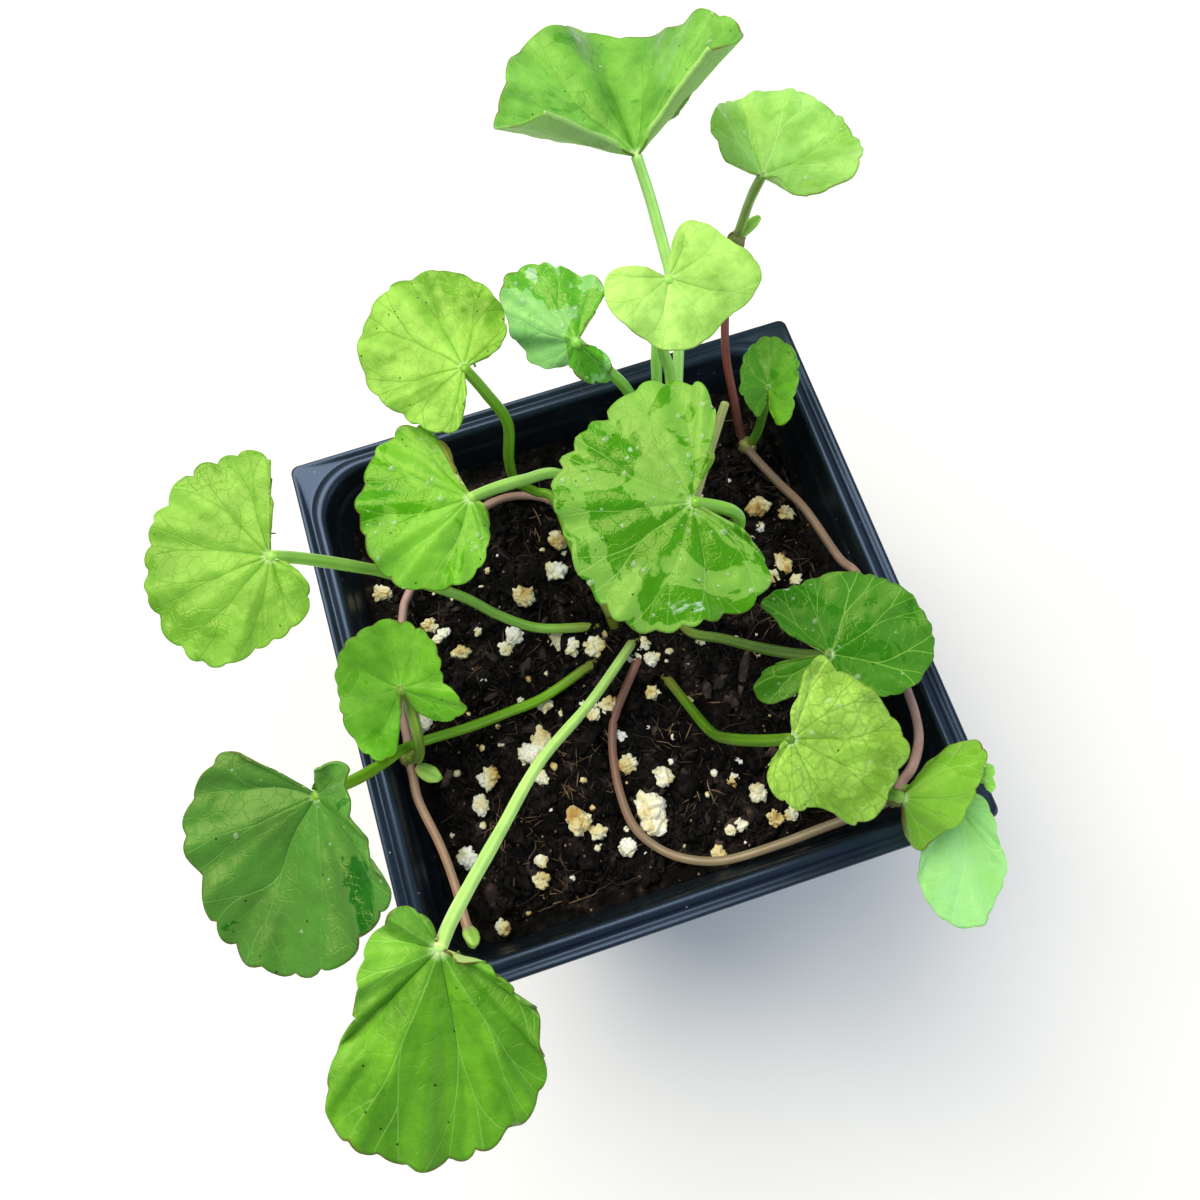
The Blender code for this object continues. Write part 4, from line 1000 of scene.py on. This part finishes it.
def grow_blade(name, leaf, skins):
    """A blade: a fan of columns from the petiole, with teeth, ribs, waves and folded margins."""
    start, end = leaf.get("curl", (0, 0))
    cut = 0.022  # where a folded margin's crease runs, as a share of the fan
    sides = [0.5 + 0.5 * math.sin(math.pi * (i / COLUMNS - 0.5)) for i in range(COLUMNS + 1)]
    sides = [max(cut if start else 0.0, min(1 - cut if end else 1.0, side)) for side in sides]
    sides = sorted(set(sides))
    columns = len(sides)
    reaches = []
    for side in sides:
        edge = abs(2 * side - 1)
        rounding = 1.0 if start else 0.3 + 0.7 * math.sqrt(max(0.0, 1 - edge**14))
        reaches.append(between(leaf["veins"], side) * rounding)
    margin = [blade_base(leaf, side, 1.0, reach) for side, reach in zip(sides, reaches)]
    walked = [0.0]
    for a, b in zip(margin, margin[1:]):
        walked.append(walked[-1] + (b - a).length)

    # The margin: teeth of uneven spacing and depth, and a swing up and down.
    seed = dice.uniform(0, 60)
    teeth = max(3, round(walked[-1] / leaf["tooth"]))
    bites, waves = [], []
    for length in walked:
        v = length / walked[-1]
        uneven = 0.010 * math.sin(math.tau * 3 * v + seed) + 0.006 * math.sin(math.tau * 7 * v + 2 * seed)
        t = teeth * (v + uneven)
        t = math.floor(t) + (t - math.floor(t)) ** leaf["skew"]
        keen = 0.75 + 0.5 * noise.noise(Vector((math.floor(t) * 1.7, seed, 0)))
        bites.append(leaf["notch"] * keen * (1 - abs(math.sin(math.pi * t)) ** 0.6))
        turns = math.tau * leaf["swings"] * v
        waves.append(leaf["swing"] * (math.sin(turns + seed) + 0.6 * math.sin(turns * 1.63 + 2.3 * seed)))

    # The ribs run at every half turn. A point's off is its distance from one, from 0 to 1, and its arm is
    # half the space between ribs where it is.
    first, last = leaf["fan"][0], leaf["fan"][-1]
    space = (last - first) / leaf["ribs"]
    bearings = [between(leaf["fan"], side) for side in sides]
    rows = []
    for ring in range(1, RINGS + 1):
        share = ring / RINGS
        row = []
        for i, side in enumerate(sides):
            row.append(blade_base(leaf, side, share, reaches[i] - bites[i] * share**5))
        rows.append(row)
    points = [Vector((0, 0, 0))]
    veins = [0.0, 0.0, 0.0]
    edges = [5.0, 0.0, 0.5]
    sheet = [0.0, 0.0, 0.0]
    for ring, row in enumerate(rows):
        share = (ring + 1) / RINGS
        for i, spot in enumerate(row):
            reach = reaches[i] * share
            bearing = math.radians(bearings[i])
            along = spot - rows[ring - 1][i] if ring else spot
            over = row[min(i + 1, columns - 1)] - row[max(i - 1, 0)]
            normal = along.cross(over).normalized()
            arm = reach * math.radians(space) / 2
            flat = Vector((reach * math.cos(bearing), reach * math.sin(bearing), seed))
            turn = (bearings[i] - first) / space + 0.10 * math.sin(bearings[i] * 0.08 + seed)
            turn += 0.16 * noise.noise(flat * 0.13) * min(1.0, arm / 2)
            off = abs(2 * (turn % 1.0) - 1)
            zig = 1 - 2 * abs((turn - 0.5) % 2 - 1)
            lane = off
            for fork, spread in FORKS:
                lane = abs(lane - max(0.0, share - fork) * spread)
            groove = math.exp(-((lane * arm / 0.26) ** 2))
            belly = off * (1.5 - 0.5 * off) * min(1.0, arm / 2.5) * (1 - 0.45 * share)
            height = leaf["pleat"] * (belly - 0.35) * min(1.0, share * 4)
            height += leaf["zig"] * zig * min(1.0, arm / 3) * (1 - 0.3 * share)
            height -= 0.08 * groove * (1 - 0.6 * share)
            height += waves[i] * share**2.4
            height += 0.34 * share * noise.noise(flat * 0.16)
            height += 0.15 * noise.noise(flat * 0.5)
            height += 0.04 * noise.noise(flat * 1.3)
            points.append(spot + normal * height)
            veins += [math.cos(math.pi * turn), share, arm]
            spare = math.radians(min(bearings[i] - first, last - bearings[i]))
            to_side = reach * math.sin(min(1.5, spare))
            bitten = min(1.0, bites[i] / max(leaf["notch"], 0.01))
            edges += [min(reaches[i] * (1 - share), to_side + 0.02), bitten, i / (columns - 1)]
            sheet += [flat.x, flat.y, seed]
    faces = []
    for i in range(columns - 1):
        faces.append((0, 1 + i, 2 + i))
    for ring in range(RINGS - 1):
        for i in range(columns - 1):
            low = 1 + ring * columns + i
            faces.append((low, low + columns, low + columns + 1, low + 1))

    # Folded margins carry on from the first or last column, over the blade.
    strips = 12
    bow = 0.35  # the fold's radius
    for width, column, inward in ((start, 0, 1), (end, columns - 1, -1)):
        if not width:
            continue
        lane = [0] + [1 + ring * columns + column for ring in range(RINGS)]
        before = lane
        for strip in range(1, strips + 1):
            fresh = [0]
            for ring in range(1, RINGS + 1):
                share = ring / RINGS
                home = points[lane[ring]]
                ahead = (points[lane[ring]] - points[lane[ring - 1]]).normalized()
                inside = points[lane[ring] + inward * 3] - home
                inside = (inside - ahead * inside.dot(ahead)).normalized()
                up = ahead.cross(inside) * inward
                bulge = 1.7 * math.sin(math.pi * max(0.0, share - 0.2) / 0.82) ** 0.8
                wide = width * min(1.0, bulge + 0.02)
                gone = wide * strip / strips
                past = gone - math.pi * bow
                if past < 0:
                    angle = gone / bow
                    spot = home - inside * bow * math.sin(angle) + up * bow * (1 - math.cos(angle))
                else:
                    spot = home + inside * past + up * (2 * bow - 0.10 * past)
                ripple = 0.25 * math.sin(share * 14 + seed) * strip / strips
                points.append(spot + up * ripple)
                fresh.append(len(points) - 1)
                veins += [0.6, share, share * 6.0]
                edges += [wide * (1 - strip / strips), 0.3, column / (columns - 1)]
                sheet += [home.x + gone, home.y, seed]
            for ring in range(RINGS):
                quad = (before[ring], before[ring + 1], fresh[ring + 1], fresh[ring])
                quad = quad if ring else quad[:3]
                faces.append(quad if inward < 0 else tuple(reversed(quad)))
            before = fresh
    base = spot_at(BLADE_BASES[name])
    placed = [tuple(base + point * 0.001) for point in points]
    blade = add_piece(f"blade_{name}", (placed, faces), skins, [f"leaf_{name}"])
    float_attribute(blade.data, "veins", "FLOAT_VECTOR", veins)
    float_attribute(blade.data, "margin", "FLOAT_VECTOR", edges)
    float_attribute(blade.data, "sheet", "FLOAT_VECTOR", sheet)
    shell = blade.modifiers.new("thickness", "SOLIDIFY")
    shell.thickness = BLADE
    shell.offset = 0.0
    shell.material_offset = 1
    return blade


def blade_skin(name, leaf, underside=False):
    """Leaf skin with forked veins, a fine net and a thin rim: deeper where damp, painted paler as a sheen
    where dry, painted with the light's glare where water stands, and painted in shade on every second panel.
    """
    material, tree, shader = new_material(name)
    # The sheet is the flattened blade in millimetres, so a pattern's scale on it is one over its size. The
    # vein's swing crosses zero at each rib, so its arcsine is the distance from the rib, as a share of half
    # the space between ribs: arm, in millimetres.
    sheet = node(tree, "Attribute", attribute_name="sheet")["Vector"]
    veins = node(tree, "Attribute", attribute_name="veins")["Vector"]
    swing, share, arm = node(tree, "SeparateXYZ", (veins,)).values()
    rim = node(tree, "Attribute", attribute_name="margin")["Vector"]
    edge, notch, side = node(tree, "SeparateXYZ", (rim,)).values()
    shaken = node(tree, "TexNoise", {"Vector": sheet, "Scale": 1 / 1.11, "Detail": 3.0, "Roughness": 0.6})[0]
    lane = node(tree, "Math", (swing,), operation="ARCSINE")[0]
    lane = node(tree, "Math", (lane,), operation="ABSOLUTE")[0]
    lane = node(tree, "Math", (lane, 2 / math.pi), operation="MULTIPLY")[0]
    for fork, spread in FORKS:
        branch = node(tree, "MapRange", (share, fork, 1.0, 0.0, spread * (1 - fork)))[0]
        apart = node(tree, "Math", (lane, branch), operation="SUBTRACT")[0]
        lane = node(tree, "Math", (apart,), operation="ABSOLUTE")[0]
    from_rib = node(tree, "Math", (lane, arm), operation="MULTIPLY")[0]
    width = node(tree, "MapRange", (share, 0.0, 1.0, 0.20, 0.09))[0]
    thinning = (from_rib, 0.03, width, 1.0, 0.0)
    rib = node(tree, "MapRange", thinning, interpolation_type="SMOOTHSTEP")[0]

    # The net's meshes are about 2 mm across, with a finer one of 0.9 mm inside them.
    sway = node(tree, "TexNoise", {"Vector": sheet, "Scale": 1 / 0.909, "Detail": 2.0})["Color"]
    bent = node(tree, "VectorMath", (sway, (0.8, 0.8, 0.8), sheet), operation="MULTIPLY_ADD")[0]
    nets = []
    for size, thick in ((2.083, 0.055), (0.909, 0.09)):
        mesh = {"Vector": bent, "Scale": 1 / size}
        cell = node(tree, "TexVoronoi", mesh, feature="DISTANCE_TO_EDGE", voronoi_dimensions="2D")[0]
        thick *= leaf.get("net_width", 1)
        nets.append(node(tree, "MapRange", (cell, 0.0, thick, 1.0, 0.0))[0])

    # Dry wax is painted paler, a painted sheen, and damp skin deeper: the wet edges are sharp where water has
    # drawn back. Clouds of deeper green are 7 mm across and damp patches 12 mm.
    tints = [(i / (len(leaf["tints"]) - 1), tint) for i, tint in enumerate(leaf["tints"])]
    warp = node(tree, "MapRange", (shaken, 0.3, 0.7, -0.3, 0.3))[0]
    around = node(tree, "Math", (warp, 0.08, side), operation="MULTIPLY_ADD")[0]
    colour = node(tree, "ValToRGB", (around,), tints)[0]
    clouds = {"Vector": sheet, "Scale": 1 / 7.14, "Detail": 5.0, "Roughness": 0.62}
    cloud = node(tree, "TexNoise", clouds)[0]
    water = {"Vector": sheet, "Scale": 1 / 11.76, "Detail": 6.0, "Roughness": 0.55, "Distortion": 0.8}
    damp = node(tree, "TexNoise", water)[0]
    shore = 0.66 - 0.24 * leaf["wet"]
    wet = node(tree, "MapRange", (damp, shore, shore + 0.015))[0]
    glare_level = 0.72 - 0.16 * leaf["pool"]
    pool = node(tree, "MapRange", (damp, glare_level, glare_level + 0.02))[0]
    fine, coarse = 0.5 * leaf["net_share"], leaf["net_share"]
    for amount, tone in (
        # Painted shade: every second panel between ribs is darkened towards the deep green, as a fold turned
        # from the light.
        (node(tree, "MapRange", (swing, -0.12, 0.12, 0.0, leaf["panel"]))[0], leaf["deep"]),
        (node(tree, "MapRange", (cloud, 0.40, 0.64, 0.0, 0.75))[0], leaf["deep"]),
        # Painted sheen: dry skin is mixed towards the pale wax tone, and damp skin towards the deep green.
        (node(tree, "MapRange", (wet, 0.0, 1.0, leaf["waxy"], 0.0))[0], leaf.get("wax", "#B4DC74")),
        (node(tree, "MapRange", (wet, 0.0, 1.0, 0.0, 0.25 * bool(leaf["waxy"])))[0], leaf["deep"]),
        (node(tree, "Math", (nets[1], fine), operation="MULTIPLY")[0], leaf["net"]),
        (node(tree, "Math", (nets[0], coarse), operation="MULTIPLY")[0], leaf["net"]),
        (node(tree, "Math", (rib, leaf["rib_share"]), operation="MULTIPLY")[0], leaf["rib"]),
        (node(tree, "MapRange", (arm, 0.08, 0.34, 0.75, 0.0))[0], "#D2EAB0"),
        # Painted reflection: where water stands, a pale blue-white glare of the light is mixed in.
        (node(tree, "Math", (pool, 0.45 * bool(leaf["pool"])), operation="MULTIPLY")[0], "#CFE8D8"),
    ):
        colour = node(tree, "Mix", {0: amount, 6: colour, 7: tone}, data_type="RGBA")[2]

    # Specks of grit splashed up from the soil, a quarter of a millimetre across.
    cells = node(tree, "TexVoronoi", {"Vector": sheet, "Scale": 1 / 1.176}, voronoi_dimensions="2D")
    dot = node(tree, "MapRange", (cells["Distance"], 0.09, 0.15, 1.0, 0.0))[0]
    rare = 0.99 - 0.20 * leaf["specks"]
    pick = node(tree, "MapRange", (cells["Color"], rare, rare + 0.01))[0]
    speck = node(tree, "Math", (dot, pick), operation="MULTIPLY")[0]
    colour = node(tree, "Mix", {0: speck, 6: colour, 7: "#22240C"}, data_type="RGBA")[2]
    # The rim is stained brown in the notches, and more so in patches.
    inset = node(tree, "Math", (notch, -0.30, edge), operation="MULTIPLY_ADD")[0]
    brown = node(tree, "MapRange", (inset, 0.03, 0.22, 0.9 * leaf["stain"], 0.0))[0]
    blotch = node(tree, "MapRange", (cloud, 0.44, 0.56, 0.1, 1.0))[0]
    stain = node(tree, "Math", (brown, blotch), operation="MULTIPLY")[0]
    colour = node(tree, "Mix", {0: stain, 6: colour, 7: "#6B4428"}, data_type="RGBA")[2]
    if underside:
        colour = node(tree, "Mix", {0: 0.5, 6: colour, 7: "#C6EE92"}, data_type="RGBA")[2]

    # Ribs and net are sunk in the upper side and stand out underneath.
    relief = node(tree, "Math", (nets[0], 0.5, rib), operation="MULTIPLY_ADD")[0]
    relief = node(tree, "Math", (nets[1], 0.2, relief), operation="MULTIPLY_ADD")[0]
    relief = node(tree, "Math", (shaken, -1.2, relief), operation="MULTIPLY_ADD")[0]
    sunk = node(tree, "Math", (relief, 1.0 if underside else -1.0), operation="MULTIPLY")[0]
    plug(tree, shader, {
        "Base Color": colour,
        "Roughness": node(tree, "MapRange", (wet, 0.0, 1.0, 0.55 if underside else 0.34, 0.16))[0],
        "Normal": node(tree, "Bump", {"Strength": 0.45, "Distance": 0.00012, "Height": sunk})[0],
        "Specular IOR Level": 0.35,
        "Specular Tint": "#E8F0A0",
        "Subsurface Weight": 0.2,
        "Subsurface Radius": (0.8, 1.0, 0.25),
        "Subsurface Scale": 0.0010,
    })
    return material


# Water drops: low clear beads left from watering, 0.3 to 0.9 mm across, on the leaves that are still
# damp. They show the skin under them and a point of the light.
water_drop, tree, shader = new_material("clear_water")
plug(tree, shader, {"Base Color": "#DDF2C8", "Alpha": 0.22, "Specular IOR Level": 1.0, "Roughness": 0.04})


def bead(spot, normal, size):
    """(points, faces) of a low round drop that sits on a surface."""
    across = normal.orthogonal().normalized()
    other = normal.cross(across)
    rings = []
    for lift, wide in ((-0.10, 0.98), (0.06, 1.0), (0.22, 0.88), (0.33, 0.62), (0.39, 0.25)):
        ring = []
        for k in range(16):
            t = math.tau * k / 16
            swell = 0.5 * size * wide * (1 + 0.10 * math.sin(2 * t + size * 9000))
            outward = across * math.cos(t) + other * math.sin(t)
            ring.append(tuple(spot + normal * lift * size + outward * swell))
        rings.append(ring)
    return loft(rings)


DROPS = {
    "north": 14, "wet": 26, "centre": 60, "inner_west": 34, "east": 16, "southwest": 12, "southeast": 8,
    "funnel": 6,
}
for name, leaf in LEAVES.items():
    leaf.update(zip(TRAITS, leaf["traits"]))
    skins = [blade_skin(f"waxy_leaf_{name}", leaf), blade_skin(f"leaf_underside_{name}", leaf, True)]
    blade = grow_blade(name, leaf, skins)
    level = [face for face in blade.data.polygons if face.area > 0.02e-6 and face.normal.z > 0.5]
    beads = []
    for face in dice.sample(level, min(DROPS.get(name, 0), len(level))):
        size = dice.choice((0.0003, 0.0004, 0.0005, 0.0009)) * dice.uniform(0.8, 1.2)
        beads.append(bead(face.center + face.normal * BLADE / 2, face.normal, size))
    if beads:
        add_piece(f"drops_{name}", joined(beads), [water_drop])

# ---------------------------------------------------------------------------------------------------
# Floor, light and camera
# A plain pale floor under the pot, a broad soft light overhead with a weaker one from the side, and the
# camera above the plant, looking down and a little forward.

bpy.ops.mesh.primitive_plane_add(size=6.0, location=(0, 0, -0.0002))
floor = bpy.context.object
floor.name = "floor"
paper, tree, shader = new_material("pale_paper")
plug(tree, shader, {"Base Color": "#ECECE9", "Roughness": 0.9})
floor.data.materials.append(paper)

world = bpy.data.worlds.new("studio")
bpy.context.scene.world = world
world.use_nodes = True
sky = world.node_tree.nodes["Background"].inputs
plug(world.node_tree, sky, {"Color": "#CFE0F6", "Strength": 0.52})
# Each lamp: its place and size in metres, its power in watts and its colour.
for name, spot, size, power, colour in (
    ("overhead", (-0.25, 0.35, 0.90), 0.7, 12.3, "#FFF5E4"),
    ("side", (0.75, -0.45, 0.55), 0.6, 2.6, "#EEF4FF"),
):
    lamp = bpy.data.lights.new(name, "AREA")
    lamp.size = size
    lamp.energy = power
    lamp.color = linear(colour)[:3]
    light = bpy.data.objects.new(name, lamp)
    bpy.context.scene.collection.objects.link(light)
    light.location = spot
    light.rotation_euler = (Vector((0, 0, 0.1)) - Vector(spot)).to_track_quat("-Z", "Y").to_euler()

RIGHT = Vector((0.95138, -0.30649, -0.03077))
UP = Vector((0.30241, 0.91033, 0.28258))
eye = bpy.data.cameras.new("eye")
eye.sensor_width = 36.0
eye.lens = 27.56
camera = bpy.data.objects.new("eye", eye)
bpy.context.scene.collection.objects.link(camera)
place = Matrix.Translation((-0.01163, -0.03952, HEIGHT + 0.15792))
camera.matrix_world = place @ Matrix((RIGHT, UP, RIGHT.cross(UP))).transposed().to_4x4()
bpy.context.scene.camera = camera
bpy.context.scene.view_settings.view_transform = "Standard"
